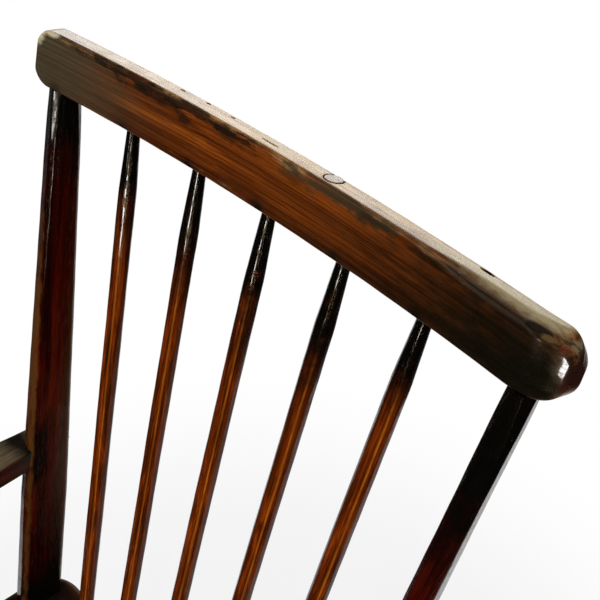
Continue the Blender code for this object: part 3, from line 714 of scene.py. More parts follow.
def blot_group() -> Tree:
    """A blot: one soft-edged stain or dent of a given place and size, broken by noise.

    The distance from Centre, in half sizes, gains 4 Ragged (noise - 0.5), and the mask falls from 1
    at a distance of 1 - Soft to 0 at 1.

    Returns:
        A group that puts out Mask.
    """
    sizes = {"Centre": (0.0, 0.0, 0.0), "Size": (0.01, 0.01, 0.01)}
    graph = Group("blot", ("Mask",), **sizes, Ragged=0.5, Soft=0.4)
    given = graph.inputs
    apart = graph.vector("DIVIDE", graph.vector("SUBTRACT", given["Vector"], given["Centre"]), given["Size"])
    noise = graph.noise(given["Vector"], 150.0, run=0.35, detail=4.0, rough=0.65)
    torn = graph.times(graph.math("SUBTRACT", noise, 0.5), given["Ragged"])
    distance = graph.scaled(torn, 4.0, graph.vector("LENGTH", apart))
    graph.put_out("Mask", graph.remap(distance, graph.math("SUBTRACT", 1.0, given["Soft"]), 1.0, 1.0, 0.0))
    return graph.tree


@dataclass(frozen=True)
class Blot:
    """A stain, dent or worn patch at a place in the wood's own coordinates."""

    centre: Triple
    size: Triple
    colour: Colour
    strength: float = 1.0
    ragged: float = 0.5
    soft: float = 0.5
    dull: float = 0.0
    shine: float = 0.0


@dataclass(frozen=True)
class WoodFinish:
    """How one kind of old polished wood looks.

    Figure and fibre are scales, and run draws both out. Ring, rub, soil, shade and broken are how
    strong the rings, the rubbed arrises, the grime, the clouds of grime and the gaps in the coat are.
    Roughness goes from gloss to dull, level is the reflection below the coat, and coat_far_share is
    the share of the coat that is left far from joints. Under lies below the grain's lines, blots above.
    """

    name: str
    deep: Colour
    middle: Colour
    warm: Colour
    worn: Colour
    grime: Colour
    # The painted highlight down the middle of the flats that face the painted light
    painted_highlight: Colour = (0.6, 0.165, 0.01)
    tint: Colour = (1.0, 0.72, 0.42)
    figure: float = 45.0
    fibre: float = 900.0
    run: float = 0.06
    ring: float = 0.5
    rub: float = 0.35
    soil: float = 1.0
    shade: float = 0.0
    gloss: float = 0.16
    dull: float = 0.36
    level: float = 0.5
    relief: float = 0.0002
    coat: float = 0.35
    coat_roughness: float = 0.12
    coat_far_share: float = 1.0
    broken: float = 0.3
    under: tuple[Blot, ...] = ()
    blots: tuple[Blot, ...] = ()

    def material(self, groups: dict[str, Tree]) -> bpy.types.Material:
        """Builds the finish.

        Args:
            groups: The shared node groups by name.

        Returns:
            A material with grain, wear, grime, blots and a broken gloss.
        """
        material = bpy.data.materials.new(self.name)
        material.use_nodes = True
        Painter(material.node_tree, groups, self).paint()
        return material


class Painter(Graph):
    """Paints one finish into a material's tree, from the bare wood up to its coat."""

    def __init__(self, tree: Tree, groups: dict[str, Tree], finish: WoodFinish) -> None:
        """Starts with the wood's own coordinates, its grain and a mask of broad patches.

        Args:
            tree: The material's node tree.
            groups: The shared node groups by name.
            finish: What is painted.
        """
        super().__init__(tree)
        self.groups = groups
        self.finish = finish
        self.wood = self.attribute("wood", "Vector")
        self.grain = self.shared("grain", Figure=finish.figure, Fibre=finish.fibre, Run=finish.run)
        self.patches = self.mask(0.35, 0.68, self.wood, 16.0, run=0.4, detail=4.0, rough=0.6)
        self.tone: Given = finish.deep

    def shared(self, name: str, **values: Given) -> Outputs:
        """The outputs of a shared group that reads the wood's coordinates."""
        return self.place(self.groups[name], Vector=self.wood, **values)

    def lay(self, factor: Given, colour: Colour, way: str = "MIX") -> None:
        """Lays a colour over the tone, or multiplies the tone by it."""
        self.tone = self.colour(factor, self.tone, colour, way)

    def paint(self) -> None:
        """Lays the wood, its bleached places and painted sheen, its worn places with the sticks' painted
        light and shade, its lines, its grime with its painted shade, its blots, some of which are painted
        light, and its coat.
        """
        finish, grain = self.finish, self.grain
        self.lay(self.remap(grain["Figure"], 0.0, 0.75), finish.middle)
        self.lay(self.times(self.remap(grain["Figure"], 0.45, 1.0), self.patches), finish.warm)
        bleached_and_sheen, _ = self.mark(finish.under)
        streaks = self.mask(0.48, 0.62, self.wood, 330.0, run=0.02, detail=3.0, rough=0.6)
        grooved = self.times(streaks, bleached_and_sheen)
        self.lay(self.times(grooved, 1.6, clamp=True), GROOVE_TINT, "MULTIPLY")
        self.rub()
        faint = self.scaled(grain["Fibre"], -0.4, 0.4)
        lines = self.math("MAXIMUM", self.times(grain["Rings"], finish.ring), faint)
        self.lay(lines, LINE_TINT, "MULTIPLY")
        self.soil()
        dented, shining = self.mark(finish.blots)
        dulled = self.math("MAXIMUM", bleached_and_sheen, dented)
        overlaid = self.times(lines, self.scaled(dulled, -0.8, 0.5), clamp=True)
        self.lay(overlaid, OVERLAID_TINT, "MULTIPLY")
        self.polish(grooved, dulled, shining)

    def mark(self, blots: Sequence[Blot]) -> tuple[Given, Given]:
        """Lays blots over the tone.

        Args:
            blots: The blots, from the lowest up.

        Returns:
            The mask of the dull blots and the mask of the shining ones.
        """
        dulled: Given = 0.0
        shining: Given = 0.0
        for blot in blots:
            shape = {"Centre": blot.centre, "Size": blot.size, "Ragged": blot.ragged, "Soft": blot.soft}
            mask = self.times(self.shared("blot", **shape)["Mask"], blot.strength)
            self.lay(mask, blot.colour)
            if blot.dull > 0.0:
                dulled = self.math("MAXIMUM", dulled, self.times(mask, blot.dull))
            if blot.shine > 0.0:
                shining = self.math("MAXIMUM", shining, self.times(mask, blot.shine))
        return dulled, shining

    def rub(self) -> None:
        """Wears the arrises, paints shade on the flats that look away from the painted light and paints a
        highlight down the middle of those that face it.
        """
        arris = self.shared("rub", Edge=self.attribute("edge", "Fac"), Amount=self.finish.rub)
        self.lay(arris["Mask"], self.finish.worn)
        # Painted light and shade: flats that look away from the painted light get darker, and those that face
        # it get a highlight
        facing = self.attribute("facing", "Fac")
        patchy = self.scaled(self.patches, -0.5, 1.15)
        self.lay(self.times(self.remap(facing, PAINTED_SHADE_COSINE, 0.32), patchy, clamp=True), self.finish.deep)
        figured = self.scaled(self.grain["Figure"], 0.4, 0.45)
        self.lay(self.times(self.remap(facing, 0.988, 0.9995), figured), self.finish.painted_highlight)

    def soil(self) -> None:
        """Lays grime in clouds, in the pores and round the joints, where near the rail on the sticks and the
        posts it also paints shade.
        """
        cloud = self.mask(0.5, 0.66, self.wood, 21.0, run=0.5, detail=3.0, rough=0.55)
        self.lay(self.times(cloud, self.finish.shade), self.finish.grime)
        self.lay(self.times(self.grain["Pores"], 0.5), self.finish.grime)
        grime = self.shared("grime", Near=self.attribute("near", "Fac"), Amount=self.finish.soil)
        self.lay(grime["Mask"], self.finish.grime)

    def polish(self, grooved: Socket, dulled: Given, shining: Given) -> None:
        """Sets the roughness, the relief, the reflection and the coat.

        The relief is the polish's height with the pores sunk in it, flattened where the wood is
        dulled and cut by the grooves. The coat is weaker where its film is broken, far from joints
        and where the wood is dulled, and stronger in the shining blots.

        Args:
            grooved: A mask of the grooves in bleached wood.
            dulled: A mask of the dull places.
            shining: A mask of the shining ones.
        """
        finish, grain = self.finish, self.grain
        polish = self.shared("polish", Fibre=grain["Fibre"], Gloss=finish.gloss, Dull=finish.dull)
        height = self.scaled(grain["Pores"], -0.5, polish["Height"])
        height = self.times(height, self.scaled(dulled, -2.2, 1.0, clamp=True))
        height = self.scaled(grooved, -3.0, height)
        relief = (("Strength", 1.0), ("Distance", finish.relief), ("Height", height))
        bump = self.add("ShaderNodeBump", relief)
        film = self.scaled(polish["Film"], finish.broken, 1.0 - finish.broken)
        near_joint = self.remap(self.attribute("near", "Fac"), 0.02, 0.5, finish.coat_far_share, 1.0)
        whole = self.times(self.times(film, near_joint), finish.coat)
        coated = self.times(whole, self.math("SUBTRACT", 1.0, dulled))
        streaked = self.times(shining, self.scaled(polish["Film"], 0.5, 0.5))
        given = {
            "Base Color": self.tone,
            "Roughness": self.math("MAXIMUM", polish["Roughness"], dulled),
            "Normal": bump.outputs["Normal"],
            "IOR": 1.4,
            "Specular IOR Level": finish.level,
            "Specular Tint": finish.tint,
            "Coat Weight": self.math("MAXIMUM", coated, streaked),
            "Coat Roughness": finish.coat_roughness,
        }
        shader = self.tree.nodes["Principled BSDF"]
        for label, value in given.items():
            self.feed(shader.inputs[label], value)


# The finishes


# Tones that grime and blots share; the soot black also paints shade and dark reflections on the posts and
# sticks
BLACK = (0.004, 0.003, 0.002)
SOOT_AND_SHADE = (0.002, 0.0016, 0.001)
DARK = (0.008, 0.005, 0.003)
INK = (0.002, 0.0015, 0.001)
SMOKY = (0.05, 0.032, 0.015)
PALE = (0.66, 0.56, 0.39)
BROWN = (0.048, 0.014, 0.0025)
TAN = (0.115, 0.038, 0.006)
VEIL = (0.006, 0.0008, 0.0004)
# Where the rail's front face lies, behind its middle
FRONT = -0.015
# Blots are placed by the wood's own coordinates: on the rail by distance behind its middle, up its face
# and along it, on an arm by distance across it, height and length. These are the rail's top, pale partly
# from bleaching by light and hands and partly from a painted sheen, and its left end, greyed by a painted
# olive-grey reflection
RAIL_BLEACHING_AND_SHEEN = (
    # The rail's top: bleaching with a painted sheen
    Blot((0.0, 0.056, -0.01), (0.04, 0.0058, 0.6), (0.88, 0.65, 0.25), 0.95, 0.1, 0.5, 0.45),
    Blot((0.0, 0.056, 0.25), (0.04, 0.0075, 0.15), (0.43, 0.36, 0.12), 0.85, 0.1, 0.8, 0.6),
    # The left end: a painted olive-grey reflection
    Blot((-0.014, 0.026, -0.31), (0.022, 0.07, 0.18), (0.072, 0.082, 0.042), 0.92, 0.12, 0.8),
)
# The marks of the rail's front face, among them a painted olive-grey reflection on its left part and painted
# shade along its lower edge; then those of its worn right end, among them a painted sheen on its top and a
# painted reflection of the floor on its lower rim; then those of its dents, of the plug's joint and of its
# pale left rim
RAIL_BLOTS = (
    # A painted olive-grey reflection on the left part of the front face
    Blot((FRONT, 0.02, -0.245), (0.01, 0.05, 0.15), (0.06, 0.036, 0.019), 0.65, 0.15, 0.9, 0.2),
    Blot((FRONT, 0.0478, -0.12), (0.006, 0.0058, 0.135), DARK, 0.85, 0.55, 0.5),
    Blot((FRONT, 0.0425, -0.14), (0.006, 0.005, 0.05), DARK, 0.75, 0.7, 0.6),
    Blot((FRONT, 0.037, -0.098), (0.006, 0.007, 0.012), DARK, 0.7, 0.8, 0.8),
    Blot((FRONT, 0.045, -0.045), (0.006, 0.0055, 0.04), DARK, 0.7, 1.0, 0.8),
    Blot((FRONT, 0.041, 0.03), (0.006, 0.006, 0.02), DARK, 0.4, 1.0, 0.8),
    Blot((FRONT, 0.047, 0.08), (0.006, 0.0085, 0.085), SMOKY, 0.9, 0.6, 0.7),
    Blot((FRONT, 0.044, 0.112), (0.006, 0.005, 0.034), DARK, 0.3, 1.0, 0.8),
    Blot((FRONT, 0.0455, 0.195), (0.006, 0.0065, 0.06), DARK, 0.6, 0.6, 0.8),
    # Painted shade along the front face's lower edge
    Blot((FRONT, 0.003, 0.11), (0.008, 0.012, 0.24), DARK, 0.6, 0.25, 0.9),
    Blot((-0.02, 0.018, 0.305), (0.026, 0.085, 0.285), (0.0035, 0.0035, 0.0015), 0.97, 0.1, 0.7),
    Blot((-0.012, 0.016, 0.284), (0.017, 0.024, 0.045), (0.0035, 0.0035, 0.0015), 0.96, 0.2, 0.5),
    # These two: pale olive-tan over the right end's top, partly bleaching and partly a painted sheen
    Blot((-0.004, 0.0535, 0.235), (0.013, 0.0085, 0.085), (0.42, 0.35, 0.2), 0.8, 0.25, 0.7, 0.3),
    Blot((0.002, 0.0465, 0.29), (0.013, 0.008, 0.012), (0.24, 0.2, 0.11), 0.85, 0.25, 0.6, 0.3),
    Blot((-0.014, 0.043, 0.245), (0.007, 0.0045, 0.035), (0.01, 0.003, 0.0015), 0.8, 0.5, 0.7),
    Blot((-0.0115, 0.0462, 0.262), (0.008, 0.0028, 0.015), INK, 0.92, 0.45, 0.5, 0.8),
    Blot((0.003, 0.026, 0.292), (0.019, 0.022, 0.012), (0.13, 0.03, 0.021), 0.9, 0.3, 0.6),
    Blot((0.003, 0.028, 0.292), (0.019, 0.022, 0.012), (0.008, 0.002, 0.0015), 0.75, 1.2, 0.5),
    # A painted reflection of the floor on the right end's lower rim
    Blot((0.004, 0.01, 0.289), (0.014, 0.0075, 0.01), (0.16, 0.085, 0.035), 0.75, 0.35, 0.6),
    Blot((-0.01, 0.044, 0.27), (0.006, 0.002, 0.0065), (0.12, 0.07, 0.022), 0.7, 0.7, 0.6, 0.5),
    Blot((-0.006, 0.041, 0.281), (0.006, 0.0035, 0.005), (0.12, 0.014, 0.009), 0.65, 0.6, 0.8),
    Blot((-0.005, 0.032, 0.287), (0.012, 0.016, 0.011), DARK, 0.35, 0.3, 0.7, 0.0, 2.8),
    Blot((0.002, 0.052, 0.2035), (0.002, 0.004, 0.0072), (0.003, 0.002, 0.001), 1.0, 0.05, 0.25, 1.0),
    Blot((-0.0025, 0.052, 0.0575), (0.0092, 0.004, 0.0092), INK, 1.0, 0.02, 0.1, 1.0),
    Blot((-0.005, 0.052, -0.01), (0.0011, 0.003, 0.011), DARK, 0.8, 0.1, 0.5, 1.0),
    Blot((0.001, 0.052, -0.119), (0.0016, 0.003, 0.004), DARK, 0.8, 0.2, 0.6, 1.0),
    Blot((0.002, 0.052, -0.089), (0.0016, 0.003, 0.003), DARK, 0.7, 0.2, 0.6, 1.0),
    Blot((0.001, 0.052, -0.059), (0.0016, 0.003, 0.003), DARK, 0.7, 0.2, 0.6, 1.0),
    Blot((-0.013, 0.046, -0.2875), (0.009, 0.014, 0.0115), PALE, 0.8, 0.45, 0.6, 0.4),
    Blot((-0.0145, 0.052, -0.27), (0.006, 0.006, 0.014), PALE, 0.8, 0.3, 0.7, 0.4),
)
# The arms' tops, greyed by a painted reflection of the pale room
ARM_PAINTED_SHEEN = (Blot((0.0, 0.031, 3.0), (1.0, 0.007, 5.0), (0.15, 0.128, 0.074), 0.9, 0.1, 0.5),)
# Where the left post's own coordinates start, and its inner face
POST_X, POST_Y, POST_Z = Side.LEFT.post_seed * WOOD_SHIFT
INNER = POST_X + 0.0105
# The dark rear half of the left post's inner face, a black patch beside the arm that is a painted reflection
# of the dark arm, the dark veil and the black below it, and a pale strip along its front that is a painted
# reflection of the pale backdrop
POST_BLOTS = (
    Blot((INNER, POST_Y + 0.021, POST_Z + 0.3), (0.012, 0.017, 0.5), BROWN, 0.8, 0.35, 0.8),
    # A painted reflection of the dark arm
    Blot((INNER, POST_Y - 0.012, POST_Z + 0.21), (0.012, 0.015, 0.06), SOOT_AND_SHADE, 0.92, 0.35, 0.6),
    Blot((INNER, POST_Y + 0.002, POST_Z + 0.1), (0.012, 0.03, 0.12), VEIL, 0.55, 0.3, 0.8),
    Blot((INNER, POST_Y + 0.012, POST_Z + 0.03), (0.012, 0.02, 0.085), SOOT_AND_SHADE, 0.92, 0.35, 0.7),
    # A painted reflection of the pale backdrop along the front
    Blot((POST_X, POST_Y - 0.02, POST_Z + 0.3), (0.03, 0.0042, 1.0), TAN, 0.75, 0.45, 0.7, 0.5),
)

RAIL_FINISH = WoodFinish(
    "rail_old_polish", deep=(0.09, 0.018, 0.0012), middle=(0.22, 0.046, 0.0028),
    warm=(0.3, 0.078, 0.005), worn=(0.4, 0.21, 0.08), grime=BLACK, figure=62.0, fibre=850.0,
    run=0.018, ring=0.62, rub=0.34, gloss=0.22, level=0.26, coat=0.1,
    coat_roughness=0.08, relief=0.00008, under=RAIL_BLEACHING_AND_SHEEN, blots=RAIL_BLOTS,
)
POST_FINISH = WoodFinish(
    "post_dark_polish", deep=(0.016, 0.0012, 0.0006), middle=(0.062, 0.0025, 0.0006),
    warm=(0.11, 0.009, 0.001), worn=(0.22, 0.07, 0.01), grime=SOOT_AND_SHADE, figure=60.0, run=0.05,
    rub=0.24, gloss=0.1, dull=0.19, shade=0.6, level=0.24, coat=0.55, coat_roughness=0.05,
    broken=0.9, coat_far_share=0.2, blots=POST_BLOTS,
)
STICK_FINISH = WoodFinish(
    "stick_dark_polish", deep=(0.066, 0.012, 0.0012), middle=(0.195, 0.027, 0.0013),
    warm=(0.37, 0.066, 0.0045), worn=(0.2, 0.06, 0.008), grime=SOOT_AND_SHADE, figure=240.0, run=0.07,
    rub=0.08, gloss=0.09, dull=0.18, level=0.26, coat=0.85, coat_roughness=0.035, broken=1.0,
    coat_far_share=0.15,
)
ARM_FINISH = WoodFinish(
    "arm_dark_polish", deep=(0.012, 0.0015, 0.0008), middle=(0.075, 0.007, 0.0012),
    warm=(0.16, 0.02, 0.003), worn=(0.12, 0.036, 0.008), grime=BLACK, figure=40.0, rub=0.22,
    gloss=0.3, dull=0.44, shade=0.4, level=0.2, coat=0.1, coat_roughness=0.2, broken=0.15,
    relief=0.0001, under=ARM_PAINTED_SHEEN,
)
LEG_FINISH = WoodFinish(
    "leg_dark_polish", deep=(0.012, 0.003, 0.001), middle=(0.06, 0.012, 0.003),
    warm=(0.15, 0.04, 0.006), worn=(0.17, 0.06, 0.016), grime=BLACK, figure=70.0, run=0.045,
    rub=0.28, gloss=0.28, dull=0.42, shade=0.4, level=0.22, coat=0.1, coat_roughness=0.18,
    broken=0.15, relief=0.0001,
)
SEAT_FINISH = WoodFinish(
    "seat_dark_polish", deep=(0.009, 0.003, 0.0015), middle=(0.04, 0.012, 0.004),
    warm=(0.095, 0.03, 0.008), worn=(0.11, 0.045, 0.015), grime=BLACK, figure=30.0, run=0.05,
    rub=0.26, gloss=0.36, dull=0.46, shade=0.5, level=0.14, coat=0.03, coat_roughness=0.22,
    broken=0.0, relief=0.00006,
)
PLUG_FINISH = WoodFinish(
    "plug_end_grain", deep=(0.1, 0.05, 0.022), middle=(0.21, 0.115, 0.055),
    warm=(0.26, 0.15, 0.075), worn=(0.3, 0.18, 0.1), grime=(0.02, 0.01, 0.006), figure=260.0,
    run=0.9, rub=0.1, coat=0.15,
)
PEG_FINISH = WoodFinish(
    "peg_end_grain", deep=(0.02, 0.008, 0.003), middle=(0.06, 0.026, 0.011),
    warm=(0.1, 0.046, 0.018), worn=(0.14, 0.07, 0.03), grime=BLACK, figure=300.0, run=0.9,
    rub=0.2, gloss=0.3, dull=0.44, level=0.2, coat=0.05, coat_roughness=0.2,
)
WEDGE_FINISH = replace(
    PEG_FINISH, name="wedge_end_grain", deep=(0.03, 0.014, 0.006), middle=(0.085, 0.043, 0.019),
    warm=(0.13, 0.068, 0.03), worn=(0.16, 0.086, 0.04),
)


class Finishes:
    """The materials of all finishes, made once from the shared node groups."""

    def __init__(self) -> None:
        """Builds the groups and then one material for each kind of piece."""
        groups = {
            "grain": grain_group(),
            "rub": rub_group(),
            "grime": grime_and_shade_group(),
            "polish": polish_group(),
            "blot": blot_group(),
        }
        self.rail = RAIL_FINISH.material(groups)
        self.post = POST_FINISH.material(groups)
        self.stick = STICK_FINISH.material(groups)
        self.arm = ARM_FINISH.material(groups)
        self.leg = LEG_FINISH.material(groups)
        self.seat = SEAT_FINISH.material(groups)
        self.plug = PLUG_FINISH.material(groups)
        self.peg = PEG_FINISH.material(groups)
        self.wedge = WEDGE_FINISH.material(groups)


# The chair


@dataclass(frozen=True)
class Back:
    """How the back leans and where its members meet the rail and the seat."""

    seat_height: float = 0.415
    tilt: float = math.radians(21.0)
    rise: float = 0.61
    rail_span: float = 0.521
    seat_span: float = 0.4235
    bow: float = 0.0164
    gap: float = 0.0003

    @property
    def slope(self) -> Array:
        """The direction up the back."""
        return np.array((0.0, math.sin(self.tilt), math.cos(self.tilt)))

    @property
    def rearward(self) -> Array:
        """The direction square out of the back's rear."""
        return np.array((0.0, math.cos(self.tilt), -math.sin(self.tilt)))

    @property
    def rail_origin(self) -> Array:
        """The middle of the rail's underside, on the chord between the posts."""
        return POST_LINE + UP * self.seat_height + self.slope * self.rise

    @property
    def radius(self) -> float:
        """The radius of the rail's curve: (h^2 + b^2) / 2b for half span h and bow b."""
        half = self.rail_span / 2
        return (half * half + self.bow * self.bow) / (2 * self.bow)

    def on_rail(self, place: Array, rearward: Array, upward: Array) -> Array:
        """Points of the rail.

        With a = place / R, the curve's point is R sin(a) across and bow - R (1 - cos(a)) back, and
        the way out of the rear face there is (sin(a), cos(a)).

        Args:
            place: Their distances along the rail's curve.
            rearward: Their distances behind its middle.
            upward: Their distances up its face.

        Returns:
            The points.
        """
        angle = np.asarray(place) / self.radius
        sine, cosine = np.sin(angle)[..., None], np.cos(angle)[..., None]
        drop = self.bow - self.radius * (1.0 - cosine)
        centre = self.rail_origin + RIGHT * (self.radius * sine) + self.rearward * drop
        outward = RIGHT * sine + self.rearward * cosine
        return centre + outward * np.asarray(rearward)[..., None] + self.slope * np.asarray(upward)[..., None]

    def rail_point(self, across: float, upward: float = 0.0, rearward: float = 0.0) -> Array:
        """One point of the rail, by its distance across."""
        place = self.radius * math.asin(across / self.radius)
        return self.on_rail(np.array(place), np.array(rearward), np.array(upward))

    def under_rail(self) -> Plane:
        """The plane just below the rail."""
        return Plane(self.rail_origin - self.slope * self.gap, self.slope)

    def over_seat(self) -> Plane:
        """The plane just above the seat."""
        return level(self.seat_height + self.gap)

    def seat_point(self, across: float, rearward: float) -> Array:
        """A point on the seat's top plane, by distances across and behind the posts' line."""
        return POST_LINE + np.array((across, rearward, self.seat_height))


@dataclass(frozen=True)
class Dowel:
    """A round peg, across the chair or not, with a domed head: its last rings follow a quarter ellipse."""

    foot: Array
    head: Array
    diameter: float
    seed: int
    across: bool = False
    dome: float = 0.0007
    rounding_share: float = 0.1
    dome_steps: int = 4
    columns: int = 48
    step: float = 0.002

    def surface(self) -> Surface:
        """The peg's skin.

        Returns:
            The surface, with its flat face at the foot and its dome at the head.
        """
        length = apart(self.foot, self.head)
        stations = [Station.rounded(0.0, self.diameter)]
        for angle in quarter(self.dome_steps):
            drawn = self.diameter * self.rounding_share * (1.0 - math.cos(angle))
            along = length - self.dome * (1.0 - math.sin(angle))
            stations.append(Station.rounded(along, self.diameter - 2 * drawn))
        return Bar(
            self.foot, self.head, stations, columns=self.columns, step=self.step, ripple=0.0,
            seed=self.seed, upright=self.across,
        ).surface()


@dataclass(frozen=True)
class ThinWedge:
    """The slip that spreads a through tenon and thickens towards the top."""

    foot: Array
    head: Array
    top: float
    diameter: float
    length: float = 0.018
    thickness: float = 0.0032
    point: float = 0.001
    margin: float = 0.0028
    proud: float = 0.0006
    chamfer: float = 0.0002

    def surface(self) -> Surface:
        """The wedge's skin, along the axis of the tenon that foot and head lie on.

        Returns:
            The surface, from the wedge's point to its flat head just above the top.
        """
        axis = unit(self.head - self.foot)
        plane = level(self.top + self.proud)
        centre = slid_to(self.head[None], axis, plane)[0]
        span = self.diameter - 2 * self.margin
        stations = [
            Station(-self.length, self.point, span, self.chamfer),
            Station(0.0, self.thickness, span, self.chamfer, plane=plane),
        ]
        seed = int(1000 * abs(self.head[1]))
        return Bar(centre, centre + axis, stations, crisp=60.0, columns=48, ripple=0.0, seed=seed).surface()


@dataclass(frozen=True)
class Dent:
    """An oval dent in the rail's top, by its place, its half sizes and its depth."""

    place: float
    behind: float
    length: float
    width: float
    depth: float

    def drop(self, place: Array, behind: Array) -> Array:
        """How far each point sinks: depth (1 - away^4), away its distance from the middle in half sizes."""
        away = np.hypot((place - self.place) / self.length, (behind - self.behind) / self.width)
        return self.depth * np.clip(1.0 - away**4, 0.0, 1.0)


@dataclass
class CrestRail:
    """The thick bowed board on top of the back, with its round plug and its pegs.

    Its waves are triples of a depth and of how fast a sine turns along it and up it.
    """

    back: Back
    height: float = 0.0518
    thickness: float = 0.03
    overhang: float = 0.028
    front_round: float = 0.0032
    worn_round: float = 0.01
    worn_start: float = 0.15
    worn_length: float = 0.07
    back_round: float = 0.011
    back_full_share: float = 0.25
    lower_front_round: float = 0.002
    lower_rear_round: float = 0.004
    largest_round_share: float = 0.45
    end_top_round: float = 0.018
    end_foot_round: float = 0.019
    end_front_round: float = 0.003
    end_rear_round: float = 0.005
    worn_end_slope: float = 0.11
    worn_end_growth: float = 10.5
    worn_end_reach: float = 0.028
    worn_end_back: float = 0.006
    worn_end_arc: float = 0.0257
    worn_end_arc_share: float = 0.46
    worn_end_start: float = 0.0012
    corner_wear: float = 0.012
    corner_wear_shares: Pair = (0.7, 1.1)
    worn_end_waves: tuple[Triple, ...] = ((0.00015, 160.0, 430.0), (0.00006, -240.0, 900.0))
    face_waves: tuple[Triple, ...] = ((0.00012, 71.0, 60.0), (0.00008, 173.0, -95.0))
    plug_diameter: float = 0.015
    plug_offset: float = 0.0575
    plug_setback: float = -0.0025
    plug_depth: float = 0.01
    plug_proud: float = 0.00025
    peg_diameter: float = 0.007
    peg_height: float = 0.017
    peg_inner_end: float = -0.0095
    peg_proud: float = 0.001
    arc_steps: int = 8
    flat_steps: int = 26
    end_steps: int = 34
    middle_steps: int = 240
    dent_steps: int = 40
    dent_margin: float = 1.15
    dent_layer: float = 0.004
    # How strongly each corner is rubbed, from the lower front one round by the rear; on the two top corners
    # the worn colour is partly a painted lit band
    rubbed_and_lit_shares: tuple[float, ...] = (0.15, 0.15, 1.0, 1.0)
    rubbed_reach: float = 0.0035
    joint_places: tuple[float, ...] = (-0.26, -0.169, -0.0845, 0.0, 0.0845, 0.169, 0.26)
    joint_reach: float = 0.009
    dents: tuple[Dent, ...] = (
        Dent(0.2035, 0.002, 0.0068, 0.0017, 0.0016),
        Dent(-0.01, -0.005, 0.0105, 0.0009, 0.0006),
        Dent(-0.119, 0.001, 0.0035, 0.0013, 0.0007),
        Dent(-0.089, 0.002, 0.0028, 0.0012, 0.0006),
        Dent(-0.059, 0.001, 0.0028, 0.0012, 0.0006),
        Dent(0.0575, -0.0025, 0.009, 0.009, 0.001),
    )

    def half_length(self) -> float:
        """Half the rail's length along its curve."""
        return self.back.radius * math.asin(self.back.rail_span / 2 / self.back.radius) + self.overhang

    def places(self) -> Array:
        """Distances along the curve where the rail is outlined, crowded at its ends and its dents.

        Returns:
            The distances, in order and to a thousandth of a millimetre.
        """
        half = self.half_length()
        reach = max(self.end_top_round, self.end_foot_round, self.worn_end_reach + self.corner_wear)
        curve = np.linspace(0.0, math.pi / 2, self.end_steps, endpoint=False)
        ends = half - reach * (1.0 - np.cos(curve))
        middle = np.linspace(-(half - reach), half - reach, self.middle_steps)
        spread = np.linspace(-self.dent_margin, self.dent_margin, self.dent_steps)
        fine = [dent.place + dent.length * spread for dent in self.dents]
        return np.unique(np.round(joined(-ends, middle, ends, *fine), 6))

    def scooped(self, place: Array, upward: Array) -> Array:
        """How far the worn right end's front has gone.

        With d the distance past a line that bends round above and below and wobbles a little, it
        is slope d + growth d^2, and a hyperbola starts d gently.

        Args:
            place: Distances along the curve.
            upward: Distances up the face.

        Returns:
            The depth at each point.
        """
        up_share = upward / self.height
        first, last = self.corner_wear_shares
        above = eased((up_share - first) / (last - first))
        arc = self.worn_end_arc * (up_share - self.worn_end_arc_share) ** 2
        reach = self.worn_end_reach + arc + self.corner_wear * above**2
        waves = self.worn_end_waves
        wobble = sum(depth * np.sin(up * upward + along * place) for depth, along, up in waves)
        past = place - self.half_length() + reach + wobble
        slid = 0.5 * (past + np.sqrt(past * past + self.worn_end_start**2)) * (past > -0.01)
        return self.worn_end_slope * slid + self.worn_end_growth * slid**2

    def corners(self, place: Array) -> list[Array]:
        """The outline's four corners, from the lower front one round by the rear.

        Each is a quarter turn about a centre that lies its radius inside both faces. The rear top
        corner is drawn most of the way back to its chord, which makes it a soft chamfer.

        Args:
            place: The distances along the curve.

        Returns:
            For each corner, its points' distances behind the rail's middle and up its face.
        """
        from_end = self.half_length() - np.abs(place)
        low = drawn_in(from_end, self.end_foot_round)
        high = self.height - drawn_in(from_end, self.end_top_round)
        front = drawn_in(from_end, self.end_front_round) - self.thickness / 2
        rear = self.thickness / 2 - drawn_in(from_end, self.end_rear_round)
        worn = eased((place - self.worn_start) / self.worn_length)
        front_round = blend(self.front_round, self.worn_round, worn)
        largest = np.minimum(rear - front, high - low) * self.largest_round_share
        share = np.linspace(0.0, 1.0, self.arc_steps + 1)
        corners = []
        for rearward, upward, inward, lift, radius, full_share, start in (
            (front, low, 1, 1, self.lower_front_round, 1.0, math.pi),
            (rear, low, -1, 1, self.lower_rear_round, 1.0, 1.5 * math.pi),
            (rear, high, -1, -1, self.back_round, self.back_full_share, 0.0),
            (front, high, 1, -1, front_round, 1.0, 0.5 * math.pi),
        ):
            reach = np.minimum(radius, largest)[:, None]
            angle = start + 0.5 * math.pi * share
            chord_x = blend(math.cos(start), math.cos(start + 0.5 * math.pi), share)
            chord_y = blend(math.sin(start), math.sin(start + 0.5 * math.pi), share)
            x = rearward[:, None] + reach * (inward + blend(chord_x, np.cos(angle), full_share))
            y = upward[:, None] + reach * (lift + blend(chord_y, np.sin(angle), full_share))
            corners.append(stacked(x, y))
        return corners

